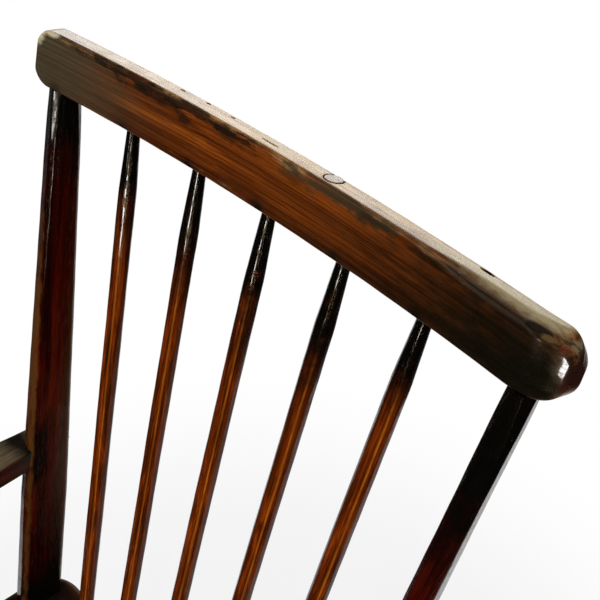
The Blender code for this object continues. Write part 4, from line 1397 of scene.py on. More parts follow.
    def outline(self, place: Array) -> tuple[Array, Array, Array]:
        """The whole outline at each place: its corners and the straight faces between them.

        Args:
            place: The distances along the curve.

        Returns:
            Each point's distances behind the rail's middle and up its face, and its share of arris.
        """
        corners = self.corners(place)
        share = parted(self.flat_steps)
        outline, edge = [], []
        for here, (corner, rubbed) in enumerate(zip(corners, self.rubbed_and_lit_shares)):
            span = corners[(here + 1) % len(corners)][:, :1] - corner[:, -1:]
            outline += [corner, corner[:, -1:] + span * share[None, :, None]]
            away = np.linalg.norm(span, axis=-1) * np.minimum(share, 1.0 - share)
            edge += [np.full(corner.shape[:2], rubbed), fading(away, self.rubbed_reach) * rubbed]
        section = np.concatenate(outline, axis=1)
        return section[..., 0], section[..., 1], np.concatenate(edge, axis=1)

    def surface(self) -> Surface:
        """The rail's skin: its outline along the curve, dented, waved and scooped.

        Every face is drawn in by depth (1 + sine) for each of two waves. The scoop fades from the
        front face to nothing at worn_end_back.

        Returns:
            The surface.
        """
        place = self.places()
        rear, rise, edge = self.outline(place)
        run = place[:, None] + np.zeros_like(rear)
        wave = sum(depth * (1.0 + np.sin(run * along + rise * up)) for depth, along, up in self.face_waves)
        drop = np.maximum.reduce([dent.drop(run, rear) for dent in self.dents])
        rise = rise - drop * (rise > self.height - self.dent_layer)
        rear = rear + np.where(rear < 0.0, wave, -wave)
        forward = (self.worn_end_back - rear) / (self.worn_end_back + self.thickness / 2)
        rear = rear + self.scooped(place[:, None], rise) * np.clip(forward, 0.0, 1.0)
        joints = np.array(self.joint_places)[:, None, None]
        near = fading(np.hypot(run - joints, rise), self.joint_reach).max(axis=0)
        return Surface(self.back.on_rail(run, rear, rise), stacked(rear, rise, run), edge, near)

    def plug(self) -> Dowel:
        """The plug.

        Returns:
            The plug, a hair proud of the rail and slightly domed.
        """
        ends = (self.height - self.plug_depth, self.height + self.plug_proud)
        foot, head = (self.back.rail_point(self.plug_offset, end, self.plug_setback) for end in ends)
        return Dowel(foot, head, self.plug_diameter, 31, dome=0.0004)

    def peg(self, side: Side) -> Dowel:
        """A peg in the rail's rear face.

        Args:
            side: The post that it locks.

        Returns:
            The peg.
        """
        ends = (self.peg_inner_end, self.thickness / 2 + self.peg_proud)
        across = side.value * self.back.rail_span / 2
        foot, head = (self.back.rail_point(across, self.peg_height, end) for end in ends)
        return Dowel(foot, head, self.peg_diameter, 41 + side.value)

    def build(self, finishes: Finishes) -> None:
        """Makes the rail, its plug and its pegs.

        Args:
            finishes: The chair's finishes.
        """
        place("crest_rail_board", self.surface(), finishes.rail, Slot.RAIL, "crest_rail")
        place("crest_plug_disc", self.plug().surface(), finishes.plug, Slot.PEG, "crest_plug")
        for side in Side:
            name = "rail_peg_" + side.label
            place(name + "_dowel", self.peg(side).surface(), finishes.peg, Slot.PEG, name)


@dataclass
class BackPost:
    """One flat-sided post of the back."""

    back: Back
    side: Side
    width: float = 0.021
    depth_at_seat: float = 0.049
    depth_at_rail: float = 0.029
    full_height: float = 0.15
    first_height: float = 0.012
    chamfer: float = 0.004
    neck_chamfer: float = 0.0065
    neck_length: float = 0.045
    turn: float = math.radians(13.5)
    tenon: float = 0.012
    rail_tenon_depth: float = 0.018
    rail_tenon_length: float = 0.032
    seat_tenon_depth: float = 0.03
    seat_tenon_length: float = 0.024
    tenon_chamfer: float = 0.001
    # How far grime and painted shade reach from the seat and the rail; the right post's long reach from the
    # rail paints a dark reflection
    grime_and_shade_reaches: Pair = (0.05, 0.085)
    right_grime_and_shade_reaches: Pair = (0.03, 0.18)

    def grime_and_shade_places(self, length: float) -> tuple[Pair, ...]:
        """Where the post is dark with grime and painted shade, as distances up it and reaches: the right one
        nearly all over, where its black is a painted dark reflection.
        """
        reaches = self.right_grime_and_shade_reaches if self.side is Side.RIGHT else self.grime_and_shade_reaches
        return tuple(zip((0.0, length), reaches))

    def ends(self) -> tuple[Array, Array]:
        """Where the post's axis meets the seat and the rail."""
        back, half = self.back, self.side.value / 2
        return back.seat_point(half * back.seat_span, 0.0), back.rail_point(half * back.rail_span)

    def depth(self, along: float, length: float) -> float:
        """The post's depth: full above the seat, then narrowing evenly."""
        share = min(max((along - self.full_height) / (length - self.full_height), 0.0), 1.0)
        return blend(self.depth_at_seat, self.depth_at_rail, share)

    def bar(self) -> Bar:
        """The post as a chamfered bar with a tenon on each end.

        Returns:
            The bar, whose rows at the seat and the rail are cut to their planes.
        """
        foot, head = self.ends()
        length = apart(foot, head)
        neck = length - self.neck_length
        low, high = self.back.over_seat(), self.back.under_rail()
        plain = [
            Station(along, self.width, self.depth(along, length), self.chamfer)
            for along in (self.first_height, self.full_height, blend(self.full_height, neck, 0.5), neck)
        ]
        low_tenon = (self.tenon, self.seat_tenon_depth, self.tenon_chamfer)
        high_tenon = (self.tenon, self.rail_tenon_depth, self.tenon_chamfer)
        stations = [
            Station(-self.seat_tenon_length, *low_tenon),
            Station(0.0, *low_tenon, plane=low),
            Station(0.0, self.width, self.depth_at_seat, self.chamfer, plane=low),
            *plain,
            Station(length, self.width, self.depth_at_rail, self.neck_chamfer, plane=high),
            Station(length, *high_tenon, plane=high),
            Station(length + self.rail_tenon_length, *high_tenon),
        ]
        return Bar(
            foot, head, stations, turn=self.side.value * self.turn, crisp=46.0, columns=128,
            seed=self.side.post_seed, joints=self.grime_and_shade_places(length), ripple=0.0003,
        )

    def plan_point(self, width_share: float, depth_share: float, height: float) -> Array:
        """A point of the post's section at a height.

        Args:
            width_share: How far out it lies, as a share of the half width.
            depth_share: How far back it lies, as a share of the half depth.
            height: Its height above the floor.

        Returns:
            The point.
        """
        bar = self.bar()
        axis, width_way, depth_way = bar.axes()
        along = (height - self.back.seat_height) / axis[2]
        depth = self.depth(along, apart(bar.foot, bar.head))
        point = bar.foot + width_way * (self.side.value * width_share * self.width / 2)
        return slid_to(point + depth_way * (depth_share * depth / 2), axis, level(height))

    def build(self, finishes: Finishes) -> None:
        """Makes the post."""
        name = "back_post_" + self.side.label
        place(name + "_slab", self.bar().surface(), finishes.post, Slot.DARK, name)


@dataclass
class BackStick:
    """One eight-sided stick of the back, thinned to a neck where it enters the rail.

    A stick's foot is shifted by its shift_share of the pitch, and its neck under the rail is black, grime
    with painted shade, for a reach of its own.
    """

    back: Back
    number: int
    count: int = 5
    pitch_at_rail: float = 0.0845
    pitch_at_seat: float = 0.0655
    shift_shares: tuple[float, ...] = (0.036, 0.0, 0.0, 0.012, 0.034)
    setback: float = 0.005
    width: float = 0.0167
    neck: float = 0.012
    neck_length: float = 0.063
    neck_straight: float = 0.005
    neck_facet: float = 0.35
    swell_half: float = 0.004
    swell_share: float = 0.05
    first_height: float = 0.01
    rail_tenon: float = 0.026
    seat_tenon: float = 0.024
    seat_tenon_diameter: float = 0.013
    seat_soil_reach: float = 0.03
    # How far the black of each neck reaches down from the rail: grime with painted shade under the rail
    neck_grime_and_shade_reaches: tuple[float, ...] = (0.105, 0.125, 0.13, 0.13, 0.088)

    def bar(self) -> Bar:
        """The stick with its tenons.

        Returns:
            The bar, whose foot is cut to the seat's plane and whose neck is nearly round.
        """
        rank = self.number - (self.count + 1) / 2
        shifted = (rank + self.shift_shares[self.number - 1]) * self.pitch_at_seat
        foot = self.back.seat_point(shifted, self.setback)
        head = self.back.rail_point(rank * self.pitch_at_rail)
        length = apart(foot, head)
        low, swell = self.back.over_seat(), length - self.neck_length
        stations = [
            *foot_tenon(self.seat_tenon, self.seat_tenon_diameter, low),
            Station(0.0, self.width, plane=low),
            Station(self.first_height, self.width),
            Station(swell - self.swell_half, self.width),
            Station(swell + self.swell_half, blend(self.width, self.neck, self.swell_share)),
            Station(length - self.neck_straight, self.neck, facet=self.neck_facet),
            Station.rounded(length + self.rail_tenon, self.neck),
        ]
        # The stick's flats get painted light and shade by the way they face
        return Bar(
            foot, head, stations, seed=60 + self.number, crisp=15.0, ripple=0.00025, painted_light_way=PAINTED_LIGHT_WAY,
            joints=((0.0, self.seat_soil_reach), (length, self.neck_grime_and_shade_reaches[self.number - 1])),
        )

    def build(self, finishes: Finishes) -> None:
        """Makes the stick."""
        name = "back_stick_%d" % self.number
        place(name + "_shaved", self.bar().surface(), finishes.stick, Slot.DARK, name)


@dataclass
class Arm:
    """One arm with its stump, its short sticks, its peg and its wedge."""

    back: Back
    seat: "Seat"
    post: BackPost
    top_above_seat: float = 0.2115
    thickness: float = 0.027
    length: float = 0.318
    neck_width: float = 0.034
    width: float = 0.0657
    splay: float = math.radians(9.0)
    tongue: float = 0.012
    edge_round: float = 0.0025
    nose_share: float = 0.88
    outline_shares: tuple[float, ...] = (0.0, 0.1, 0.25, 0.45, 0.65, 0.8)
    opened_shares: tuple[float, ...] = (0.0, 0.16, 0.38, 0.6, 0.84, 1.0)
    straight_steps: int = 90
    nose_steps: int = 25
    softened_steps: int = 85
    softening_rounds: int = 30
    tongue_steps: int = 39
    tongue_crowding: float = 1.6
    arc_steps: int = 6
    wall_steps: int = 5
    flat_steps: int = 10
    rubbed_wall_reach: float = 0.004
    rubbed_flat_reach: float = 0.0045
    joint_reach: float = 0.018
    peg_diameter: float = 0.008
    peg_reach: float = 0.004
    peg_proud: float = 0.001
    stump_place_share: float = 0.8
    stump_width: float = 0.027
    stump_end_width: float = 0.022
    stump_steps: int = 8
    stump_tenon: float = 0.017
    stump_seat_tenon: float = 0.025
    end_narrowing: float = 0.0008
    stick_place_shares: tuple[float, ...] = (0.4, 0.6)
    stick_width: float = 0.0155
    stick_plain_margin: float = 0.008
    stick_tenon: float = 0.011
    stick_seat_tenon: float = 0.022
    stick_arm_tenon: float = 0.018
    support_margin: float = 0.026
    support_rake: float = 0.012

    @property
    def sign(self) -> int:
        """-1 on the left and 1 on the right."""
        return self.post.side.value

    @property
    def top(self) -> float:
        """The height of the arm's upper face."""
        return self.back.seat_height + self.top_above_seat

    @property
    def underside(self) -> float:
        """The height of the arm's lower face."""
        return self.top - self.thickness

    @property
    def tongue_end(self) -> Array:
        """Where the tongue's rear end touches the post's outer face."""
        return self.post.plan_point(1.0, 0.9, self.top)

    def start(self) -> Array:
        """Where the arm's inner edge meets the front of its post."""
        return self.post.plan_point(-1.0, -1.0, self.top)

    def middle(self, share: Numbers) -> Array:
        """Points of the arm's middle line, in plan.

        Args:
            share: Their shares of the arm's length in front of the post.

        Returns:
            The points, each as its distances across and back.
        """
        start, forward = self.start(), self.length * np.asarray(share)
        across = start[0] + self.sign * (self.neck_width / 2 + forward * math.tan(self.splay))
        return stacked(across, start[1] - forward)

    def half_width(self, share: Numbers) -> Array:
        """Half the arm's width before its nose."""
        opened = np.interp(share, self.outline_shares, self.opened_shares)
        return blend(self.neck_width, self.width, opened) / 2

    def edges(self) -> tuple[Array, Array]:
        """The arm's inner and outer edges in plan, from its rear end to the tip of its nose.

        In front of the post both run half a width from the middle line, and in the nose that half
        width falls as the cosine while the share rises as the sine. Beside the post the inner edge
        turns in to the post's core, and only a tongue goes on along its outer face.

        Returns:
            The points of the inner edge and those of the outer edge.
        """
        share = np.linspace(0.0, self.nose_share, self.straight_steps)
        turn = quarter(self.nose_steps)[1:]
        share = joined(share, blend(self.nose_share, 1.0, np.sin(turn)))
        half = self.half_width(share)
        half[-len(turn):] = self.half_width(1.0) * np.cos(turn)
        for _ in range(self.softening_rounds):
            half[1:self.softened_steps + 1] = softened(half[:self.softened_steps + 2])
        offset = stacked(half * self.sign, np.zeros_like(half))
        inner, outer = self.middle(share) - offset, self.middle(share) + offset
        core, rear = self.post.plan_point(0.0, 0.0, self.top), self.tongue_end
        back_share = np.linspace(0.0, 1.0, self.tongue_steps + 1)[:-1] ** self.tongue_crowding
        back_y = blend(rear[1], inner[0, 1], back_share)
        inner_x = np.interp(back_y, (inner[0, 1], core[1]), (inner[0, 0], core[0]))
        outer_x = blend(rear[0] + self.sign * self.tongue, outer[0, 0], back_share)
        inner = joined(stacked(inner_x, back_y), inner)
        outer = joined(stacked(outer_x, back_y), outer)
        return inner, outer

    def surface(self) -> Surface:
        """The arm's skin: at each share of its length a loop under, up the outer edge, over and down.

        The edges are rounded by rings that draw the outline in square to itself while they rise.

        Returns:
            The surface.
        """
        inner, outer = self.edges()
        steps = (self.arc_steps, self.wall_steps)
        insets, heights = rounded_wall(self.underside, self.top, self.edge_round, *steps)
        lifts = np.sign((self.underside + self.top) / 2 - heights)
        drawn = drawn_in(inner[0, 1] - inner[:, 1], self.edge_round)[:, None]
        sides = []
        for line, way in ((inner, 1.0), (outer, -1.0)):
            run = np.gradient(line, axis=0)
            run /= np.linalg.norm(run, axis=1, keepdims=True) + 1e-12
            inward = stacked(-run[:, 1], run[:, 0]) * way * self.sign
            plan = line[:, None] + inward[:, None] * (insets + drawn)[..., None]
            sides.append(joined(plan, (heights + lifts * drawn)[..., None], axis=-1))
        inner_wall, outer_wall = sides
        flat = parted(self.flat_steps)
        across = flat[None, :, None]
        under = blend(inner_wall[:, :1], outer_wall[:, :1], across)
        over = blend(outer_wall[:, -1:], inner_wall[:, -1:], across)
        points = joined(under, outer_wall, over, inner_wall[:, ::-1], axis=1)
        faces = np.array((self.top, self.underside))[:, None]
        corner = fading(heights - faces, self.rubbed_wall_reach).max(axis=0)
        width = np.linalg.norm(outer - inner, axis=1)[:, None]
        on_flat = fading(width * np.minimum(flat, 1.0 - flat), self.rubbed_flat_reach)
        walls = np.broadcast_to(corner, (len(inner), len(corner)))
        edge = joined(on_flat, walls, on_flat, walls, axis=1)
        x = points[..., 0] - ((inner + outer) / 2)[:, None, 0]
        z = points[..., 2] - self.underside
        wood = stacked(x, z, points[..., 1]) + np.array((0.0, 0.0, 3.0 + self.sign))
        near = fading(points[..., 1] - self.start()[1], self.joint_reach)
        return Surface(points, wood, edge, near)

    def support(self, share: float) -> tuple[Array, Array]:
        """Where a support's axis meets the seat and the arm's underside.

        Args:
            share: The support's place, as a share of the arm's length.

        Returns:
            The two points.
        """
        across, y = self.middle(share)
        foot_y = y + self.support_rake
        foot_x = self.sign * (self.seat.half_width(foot_y - POST_LINE[1]) - self.support_margin)
        return np.array((foot_x, foot_y, self.back.seat_height)), np.array((across, y, self.underside))

    def short_stick(self, number: int) -> Bar:
        """A short stick under the arm.

        Args:
            number: 1 for the rear one and 2 for the front one.

        Returns:
            The stick with its tenons.
        """
        foot, head = self.support(self.stick_place_shares[number - 1])
        length = apart(foot, head)
        low, high = self.back.over_seat(), level(self.underside - self.back.gap)
        stations = [
            *foot_tenon(self.stick_seat_tenon, self.stick_tenon, low),
            Station(0.0, self.stick_width, plane=low),
            Station(self.stick_plain_margin, self.stick_width),
            Station(length - self.stick_plain_margin, self.stick_width),
            Station(length, self.stick_width, plane=high),
            Station.rounded(length, self.stick_tenon, high),
            Station.rounded(length + self.stick_arm_tenon, self.stick_tenon),
        ]
        joints = ((0.0, 0.024), (length, 0.024))
        return Bar(foot, head, stations, seed=70 + 3 * self.sign + number, joints=joints, crisp=18.0)

    def stump(self) -> Bar:
        """The stout support near the arm's front, whose tenon goes right through the arm.

        Returns:
            The stump, which swells to its middle.
        """
        foot, head = self.support(self.stump_place_share)
        length = apart(foot, head)
        low, high = self.back.over_seat(), level(self.underside - self.back.gap)
        through = length + self.thickness / unit(head - foot)[2]
        shares = parted(self.stump_steps)
        widths = blend(self.stump_end_width, self.stump_width, 1.0 - np.abs(2 * shares - 1.0))
        stations = [
            *foot_tenon(self.stump_seat_tenon, self.stump_tenon, low),
            Station(0.0, self.stump_end_width, plane=low),
            *map(Station, shares * length, widths),
            Station(length, self.stump_end_width, plane=high),
            Station.rounded(length, self.stump_tenon, high),
            *through_end(through, self.stump_tenon, self.end_narrowing, self.top),
        ]
        joints = ((0.0, 0.026), (length, 0.026))
        return Bar(foot, head, stations, seed=80 + self.sign, joints=joints, crisp=24.0)

    def peg(self) -> Dowel:
        """The peg through the arm's tongue into the post.

        Returns:
            The peg, level and across the chair.
        """
        height = (self.underside + self.top) / 2
        core = self.post.plan_point(0.0, 0.0, height)
        outside = self.tongue_end[0] + self.sign * (self.tongue + self.peg_proud)
        inside = core[0] - self.sign * self.peg_reach
        foot, head = (np.array((across, core[1], height)) for across in (inside, outside))
        return Dowel(foot, head, self.peg_diameter, 45 + self.sign, across=True)

    def build(self, finishes: Finishes) -> None:
        """Makes the arm and all that holds it up.

        Args:
            finishes: The chair's finishes.
        """
        label = self.post.side.label
        stump = self.stump()
        wedge = ThinWedge(stump.foot, stump.head, self.top, self.stump_tenon)
        place("arm_%s_board" % label, self.surface(), finishes.arm, Slot.DARK, "arm_" + label)
        place("arm_peg_%s_dowel" % label, self.peg().surface(), finishes.peg, Slot.PEG, "arm_peg_" + label)
        place("arm_stump_%s_shaved" % label, stump.surface(), finishes.leg, Slot.DARK, "arm_stump_" + label)
        place("arm_wedge_%s_slip" % label, wedge.surface(), finishes.wedge, Slot.WEDGE, "arm_wedge_" + label)
        for number in (1, 2):
            name = "arm_stick_%s_%d" % (label, number)
            place(name + "_shaved", self.short_stick(number).surface(), finishes.leg, Slot.DARK, name)


@dataclass
class Seat:
    """The dished plank."""

    back: Back
    thickness: float = 0.036
    depth: float = 0.404
    back_width: float = 0.462
    front_width: float = 0.548
    back_margin: float = 0.039
    corner_radius: float = 0.046
    front_bow: float = 0.016
    edge_round: float = 0.006
    dish_depth: float = 0.007
    dish_width: float = 0.34
    dish_length: float = 0.25
    corner_steps: int = 32
    columns: int = 360
    arc_steps: int = 7
    wall_steps: int = 6
    top_rings: int = 80
    under_rings: int = 20
    smallest_share: float = 0.01
    rubbed_face_share: float = 0.2
    rubbed_face_reaches: Pair = (0.004, 0.006)
    rubbed_wall_reaches: Pair = (0.004, 0.005)
    post_reach: float = 0.022
    stick_reach: float = 0.01
    soil_reach: float = 0.007

    @property
    def front(self) -> float:
        """The front edge's distance behind the posts' line, before its bow."""
        return self.back_margin - self.depth

    def half_width(self, rearward: float) -> float:
        """Half the seat's width at a distance behind the posts' line."""
        return blend(self.back_width, self.front_width, (self.back_margin - rearward) / self.depth) / 2

    def outline(self) -> Array:
        """The seat from above, evenly spaced: straight edges joined by arcs, and a bowed front.

        Each corner's arc has its centre on the bisector at radius / sin(half angle) from the corner.
        The bow goes forward by eased(share forward) (1 - x^2), x the distance across in half widths.

        Returns:
            The outline's points, each as its distances across and behind the posts' line.
        """
        front, back = self.front, self.back_margin
        wide, narrow = self.front_width / 2, self.back_width / 2
        corners = np.array(((-wide, front), (wide, front), (narrow, back), (-narrow, back)))
        arcs = []
        for here, corner in enumerate(corners):
            before, after = (unit(corners[(here + way) % 4] - corner) for way in (-1, 1))
            half_angle = math.acos(float(np.clip(before @ after, -1.0, 1.0))) / 2
            centre = corner + unit(before + after) * (self.corner_radius / math.sin(half_angle))
            reach = self.corner_radius / math.tan(half_angle)
            first, last = (corner + way * reach - centre for way in (before, after))
            start = math.atan2(first[1], first[0])
            sweep = (math.atan2(last[1], last[0]) - start) % math.tau
            angle = start + sweep * np.linspace(0.0, 1.0, self.corner_steps + 1)
            arcs.append(centre + self.corner_radius * stacked(np.cos(angle), np.sin(angle)))
        loop = joined(*arcs, arcs[0][:1])
        run = joined((0.0,), np.cumsum(np.linalg.norm(np.diff(loop, axis=0), axis=1)))
        even = np.linspace(0.0, run[-1], self.columns, endpoint=False)
        points = stacked(np.interp(even, run, loop[:, 0]), np.interp(even, run, loop[:, 1]))
        forward = eased((back - points[:, 1]) / self.depth)
        points[:, 1] -= self.front_bow * forward * (1.0 - (points[:, 0] / wide) ** 2)
        return points

    def surface(self) -> Surface:
        """The plank's skin: in from under, round its edge, and in over the dish.

        The dish is depth (1 - q)^2 deep where q, the squared distance from its middle in half
        widths and half lengths, is below 1.

        Returns:
            The surface.
        """
        outline = self.outline()
        run = np.roll(outline, -1, axis=0) - np.roll(outline, 1, axis=0)
        run /= np.linalg.norm(run, axis=1, keepdims=True)
        inward = stacked(-run[:, 1], run[:, 0])
        low, high = self.back.seat_height - self.thickness, self.back.seat_height
        insets, heights = rounded_wall(low, high, self.edge_round, self.arc_steps, self.wall_steps)
        rim = outline[None] + inward[None] * insets[:, None, None]
        rim = joined(rim, np.broadcast_to(heights[:, None, None], (*rim.shape[:2], 1)), axis=-1)
        middle = np.array((0.0, self.front + self.depth / 2))
        shares = np.linspace(1.0, self.smallest_share, self.top_rings)[1:, None, None]
        top = middle + (rim[-1, :, :2] - middle) * shares
        across = top[..., 0] / (self.dish_width / 2)
        along = (top[..., 1] - middle[1]) / (self.dish_length / 2)
        drop = self.dish_depth * np.clip(1.0 - (across**2 + along**2), 0.0, 1.0) ** 2
        top = joined(top, (high - drop)[..., None], axis=-1)
        under_shares = np.linspace(self.smallest_share, 1.0, self.under_rings)[:-1, None, None]
        under = middle + (rim[0, :, :2] - middle) * under_shares
        under = joined(under, np.full((*under.shape[:2], 1), low), axis=-1)
        points = joined(under, rim, top) + POST_LINE
        low_wall, high_wall = self.rubbed_wall_reaches
        low_face, high_face = self.rubbed_face_reaches
        at_edge = joined(
            fading((1.0 - under_shares[:, 0]) * self.rubbed_face_share, low_face),
            np.maximum(fading(heights - high, high_wall), fading(heights - low, low_wall))[:, None],
            fading((1.0 - shares[:, 0]) * self.rubbed_face_share, high_face),
        )
        edge = np.broadcast_to(at_edge, points.shape[:2])
        wood = stacked(points[..., 1], points[..., 2], points[..., 0])
        return Surface(points, wood, edge, self.near_joints(points))

    def near_joints(self, points: Array) -> Array:
        """A mask round every post and stick of the back.

        Args:
            points: The plank's points.

        Returns:
            The mask: 1 within a joint's reach, and falling by e over each soil_reach past it.
        """
        near = np.zeros(points.shape[:2])
        spots = [(sign * self.back.seat_span / 2, 0.0, self.post_reach) for sign in (-1, 1)]
        pitch, setback = BackStick.pitch_at_seat, BackStick.setback
        last = BackStick.count // 2
        spots += [(rank * pitch, setback, self.stick_reach) for rank in range(-last, last + 1)]
        for across, rearward, reach in spots:
            x, y = points[..., 0] - across, points[..., 1] - POST_LINE[1] - rearward
            near = np.maximum(near, fading(np.clip(np.hypot(x, y) - reach, 0.0, None), self.soil_reach))
        return near * (points[..., 2] > self.back.seat_height - self.thickness / 2)

    def build(self, finishes: Finishes) -> None:
        """Makes the plank."""
        place("seat_plank", self.surface(), finishes.seat, Slot.SEAT, "seat")


@dataclass
class Leg:
    """One eight-sided leg with its through tenon and its wedge.

    A row's placing is its leg's distance in from the seat's edge, in from its side, and how far back
    its foot stands.
    """

    seat: Seat
    side: Side
    row: Row
    width: float = 0.041
    top_width: float = 0.034
    foot_width: float = 0.03
    foot_round: float = 0.0018
    foot_narrowing: float = 0.003
    middle_share: float = 0.7
    swell_drop: float = 0.11
    steps: int = 25
    tenon: float = 0.027
    tenon_top: float = 0.025
    end_narrowing: float = 0.001
    soil_reach: float = 0.036
    splay: float = 0.066
    front_placing: Triple = (0.075, 0.08, -0.056)
    back_placing: Triple = (0.1, 0.075, 0.105)

    def ends(self) -> tuple[Array, Array]:
        """The leg's ends.

        Returns:
            Its foot on the floor and its head on the seat's top plane.
        """
        if self.row is Row.BACK:
            inset, side_inset, rake = self.back_placing
            rearward = self.seat.back_margin - inset
        else:
            inset, side_inset, rake = self.front_placing
            rearward = self.seat.front + inset
        sign = self.side.value
        across = sign * (self.seat.half_width(rearward) - side_inset)
        foot = POST_LINE + np.array((across + sign * self.splay, rearward + rake, 0.0))
        return foot, self.seat.back.seat_point(across, rearward)

    def bar(self) -> Bar:
        """The leg: thickest a little below the seat, with a soft change at the swell.

        Returns:
            The leg with its tenon, from the floor to just above the seat.
        """
        foot, head = self.ends()
        length = apart(foot, head)
        height = self.seat.back.seat_height
        shoulder = length * (1.0 - self.seat.thickness / height)
        under = level(height - self.seat.thickness - self.seat.back.gap)
        keys = np.array((0.0, 0.5 * shoulder, shoulder - self.swell_drop, shoulder))
        middle_width = blend(self.foot_width, self.width, self.middle_share)
        along = np.linspace(0.0, shoulder, self.steps + 1)[1:-1]
        widths = np.interp(along, keys, (self.foot_width, middle_width, self.width, self.top_width))
        widths = np.minimum(softened(np.pad(widths, 1, mode="edge")), widths)
        stations = [
            Station(0.0, self.foot_width - self.foot_narrowing, plane=level(0.0)),
            Station(0.0, self.foot_width, plane=level(self.foot_round)),
            *map(Station, along, widths),
            Station(shoulder, self.top_width, plane=under),
            Station.rounded(shoulder, self.tenon, under),
            *through_end(length, self.tenon_top, self.end_narrowing, height),
        ]
        seed = 90 + 2 * self.side.value + (5 if self.row is Row.BACK else 0)
        return Bar(foot, head, stations, seed=seed, joints=((shoulder, self.soil_reach),), ripple=0.00035)

    def build(self, finishes: Finishes) -> None:
        """Makes the leg and its wedge.

        Args:
            finishes: The chair's finishes.
        """
        bar = self.bar()
        label = "%s_%s" % (self.row.value, self.side.label)
        wedge = ThinWedge(bar.foot, bar.head, self.seat.back.seat_height, self.tenon_top)
        place("leg_%s_shaved" % label, bar.surface(), finishes.leg, Slot.DARK, "leg_" + label)
        place("leg_wedge_%s_slip" % label, wedge.surface(), finishes.wedge, Slot.WEDGE, "leg_wedge_" + label)


# The studio


def stood(right: Array, up: Array, back: Array, place: Sequence[float]) -> Matrix:
    """The matrix of a thing at a place, from the ways that its own three axes look."""
    turned = np.vstack((stacked(right, up, back, place), (0.0, 0.0, 0.0, 1.0)))
    return Matrix(turned.tolist())


@dataclass(frozen=True)
class Lamp:
    """An oval soft light with its place, what it looks at, its width and its height.

    A radiance of 1 makes its face as bright as a white wall of the room.
    """

    name: str
    place: Triple
    target: Triple
    size: Pair
    radiance: float

    def build(self) -> None:
        """Hangs the light, which the camera doesn't see."""
        data = bpy.data.lights.new(self.name, "AREA")
        data.shape = "ELLIPSE"
        data.size, data.size_y = self.size
        data.energy = self.radiance * math.pi * (math.pi / 4) * self.size[0] * self.size[1]
        lamp = stand(self.name, data)
        back = unit(np.array(self.place) - np.array(self.target))
        side = unit(np.cross(UP, back))
        lamp.matrix_world = stood(side, np.cross(back, side), back, self.place)
        lamp.visible_camera = False


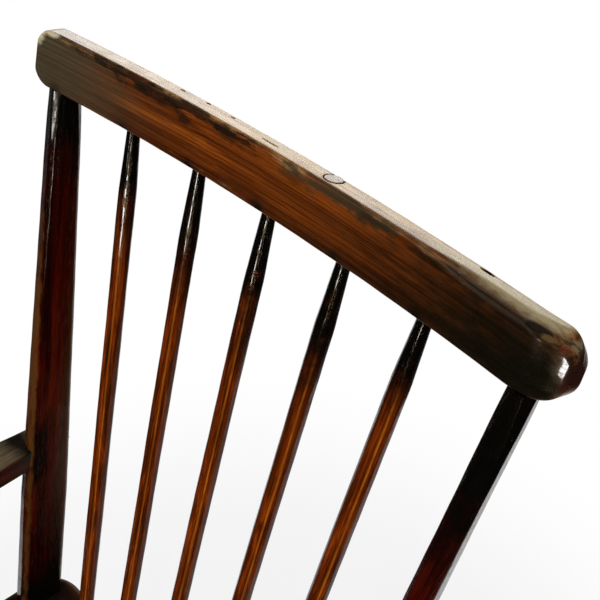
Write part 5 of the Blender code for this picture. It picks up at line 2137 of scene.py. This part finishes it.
@dataclass
class Studio:
    """The pale floor, the plain room, the soft lights and the camera."""

    camera_place: Triple = (0.4894, -0.1074, 1.4911)
    yaw: float = math.radians(-49.09)
    pitch: float = math.radians(44.29)
    roll: float = math.radians(4.25)
    lens: float = 61.5
    sensor: float = 36.0
    clip_start: float = 0.01
    floor_radius: float = 0.95
    floor_sides: int = 128
    floor_grey: float = 0.8
    floor_roughness: float = 0.8
    floor_middle_share: float = 0.55
    floor_middle_level: float = 0.72
    mirrored_share: float = 0.08
    room_level: float = 0.44
    ground_level: float = 0.015
    wall_way: Triple = (-0.62, 0.75, -0.23)
    wall_range: Pair = (0.45, 0.9)
    lamps: tuple[Lamp, ...] = (
        Lamp("overhead_box", (-0.3, -0.4, 2.8), (0.0, 0.1, 0.8), (1.6, 1.6), 2.6),
        Lamp("fill_box", (-1.2, -2.0, 1.9), (0.0, 0.1, 0.8), (1.35, 1.35), 1.8),
        Lamp("window_box", (-1.5, 2.3, 1.4), (0.0, 0.2, 1.0), (2.7, 1.0), 4.0),
        Lamp("side_box", (-0.03, -1.55, 1.27), (-0.25, 0.22, 0.95), (0.16, 0.26), 24.0),
        Lamp("front_box", (1.11, -1.65, 0.91), (0.0, 0.2, 0.95), (0.27, 0.56), 27.0),
    )

    def camera(self) -> None:
        """Stands the camera where the photograph was taken.

        Its forward way is turned by yaw about the upright and dipped by pitch, and it is rolled
        about that way.
        """
        level_way = math.cos(self.pitch)
        forward = (math.sin(self.yaw) * level_way, math.cos(self.yaw) * level_way, -math.sin(self.pitch))
        right = np.array((math.cos(self.yaw), -math.sin(self.yaw), 0.0))
        down = np.cross(forward, right)
        rolled = right * math.cos(self.roll) + down * math.sin(self.roll)
        rolled_down = down * math.cos(self.roll) - right * math.sin(self.roll)
        data = bpy.data.cameras.new("photograph_view")
        data.sensor_width = self.sensor
        data.lens = self.lens
        data.clip_start = self.clip_start
        camera = stand("photograph_view", data)
        camera.matrix_world = stood(rolled, -rolled_down, -np.array(forward), self.camera_place)
        bpy.context.scene.camera = camera

    @staticmethod
    def straight(graph: Graph, path: Outputs) -> Socket:
        """1 for a ray that comes straight from the camera, and 0 for others."""
        return graph.math("MAXIMUM", path["Is Camera Ray"], path["Is Transmission Ray"])

    def floor(self) -> None:
        """Lays a round pale floor that shows white where nothing shades it.

        A ray from the camera mixes in a white glow, which grows from floor_middle_level to 1
        towards the rim. A reflection mixes in mirrored_share of it, and other rays see pale paint.
        """
        turn = np.linspace(0.0, math.tau, self.floor_sides, endpoint=False)
        rim = stacked(np.cos(turn), np.sin(turn), np.zeros_like(turn)) * self.floor_radius
        mesh = bpy.data.meshes.new("studio_floor")
        mesh.from_pydata(rim.tolist(), [], [tuple(range(len(rim)))])
        floor = stand("studio_floor", mesh)
        material = bpy.data.materials.new("studio_floor_paint")
        material.use_nodes = True
        graph = Graph(material.node_tree)
        shader = material.node_tree.nodes["Principled BSDF"]
        graph.feed(shader.inputs["Base Color"], (self.floor_grey,) * 3)
        graph.feed(shader.inputs["Roughness"], self.floor_roughness)
        glow = graph.add("ShaderNodeEmission", (("Color", (1.0, 1.0, 1.0)),))
        path = graph.add("ShaderNodeLightPath").outputs
        from_middle = graph.vector("LENGTH", graph.add("ShaderNodeTexCoord").outputs["Object"])
        middle = self.floor_middle_share * self.floor_radius
        rim_share = graph.remap(from_middle, middle, self.floor_radius, self.floor_middle_level, 1.0)
        mirrored = graph.times(path["Is Glossy Ray"], self.mirrored_share)
        seen = graph.math("MAXIMUM", graph.times(self.straight(graph, path), rim_share), mirrored)
        mixer = graph.add("ShaderNodeMixShader", ((0, seen), (1, shader.outputs[0]), (2, glow.outputs[0])))
        graph.feed(material.node_tree.nodes["Material Output"].inputs["Surface"], mixer.outputs[0])
        mesh.materials.append(material)

    def world(self) -> None:
        """Surrounds the chair with a plain pale room.

        A ray from the camera sees white. A reflection sees the white wall behind the chair, and the
        dim rest of the room elsewhere. Scattered light comes evenly from all round.
        """
        world = bpy.data.worlds.new("studio_room")
        bpy.context.scene.world = world
        world.use_nodes = True
        graph = Graph(world.node_tree)
        way = graph.add("ShaderNodeTexCoord").outputs["Generated"]
        toward_wall = graph.vector("DOT_PRODUCT", way, self.wall_way)
        mirrored = graph.remap(toward_wall, *self.wall_range, self.ground_level, 1.0)
        path = graph.add("ShaderNodeLightPath").outputs
        soft = graph.remap(path["Is Glossy Ray"], 0.0, 1.0, self.room_level, mirrored, way="LINEAR")
        background = world.node_tree.nodes["Background"]
        graph.feed(background.inputs["Color"], (1.0, 1.0, 1.0))
        strength = graph.remap(self.straight(graph, path), 0.0, 1.0, soft, 1.0, way="LINEAR")
        graph.feed(background.inputs["Strength"], strength)

    def build(self) -> None:
        """Sets up the whole studio."""
        bpy.context.scene.view_settings.view_transform = "Standard"
        self.camera()
        self.floor()
        self.world()
        for lamp in self.lamps:
            lamp.build()


def main() -> None:
    """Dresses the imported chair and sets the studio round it."""
    logging.basicConfig(level=logging.INFO, format="%(name)s: %(message)s")
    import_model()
    finishes = Finishes()
    back = Back()
    seat = Seat(back)
    CrestRail(back).build(finishes)
    for side in Side:
        post = BackPost(back, side)
        post.build(finishes)
        Arm(back, seat, post).build(finishes)
    for number in range(1, BackStick.count + 1):
        BackStick(back, number).build(finishes)
    seat.build(finishes)
    for row in Row:
        for side in Side:
            Leg(seat, side, row).build(finishes)
    Studio().build()


if __name__ == "__main__":
    main()
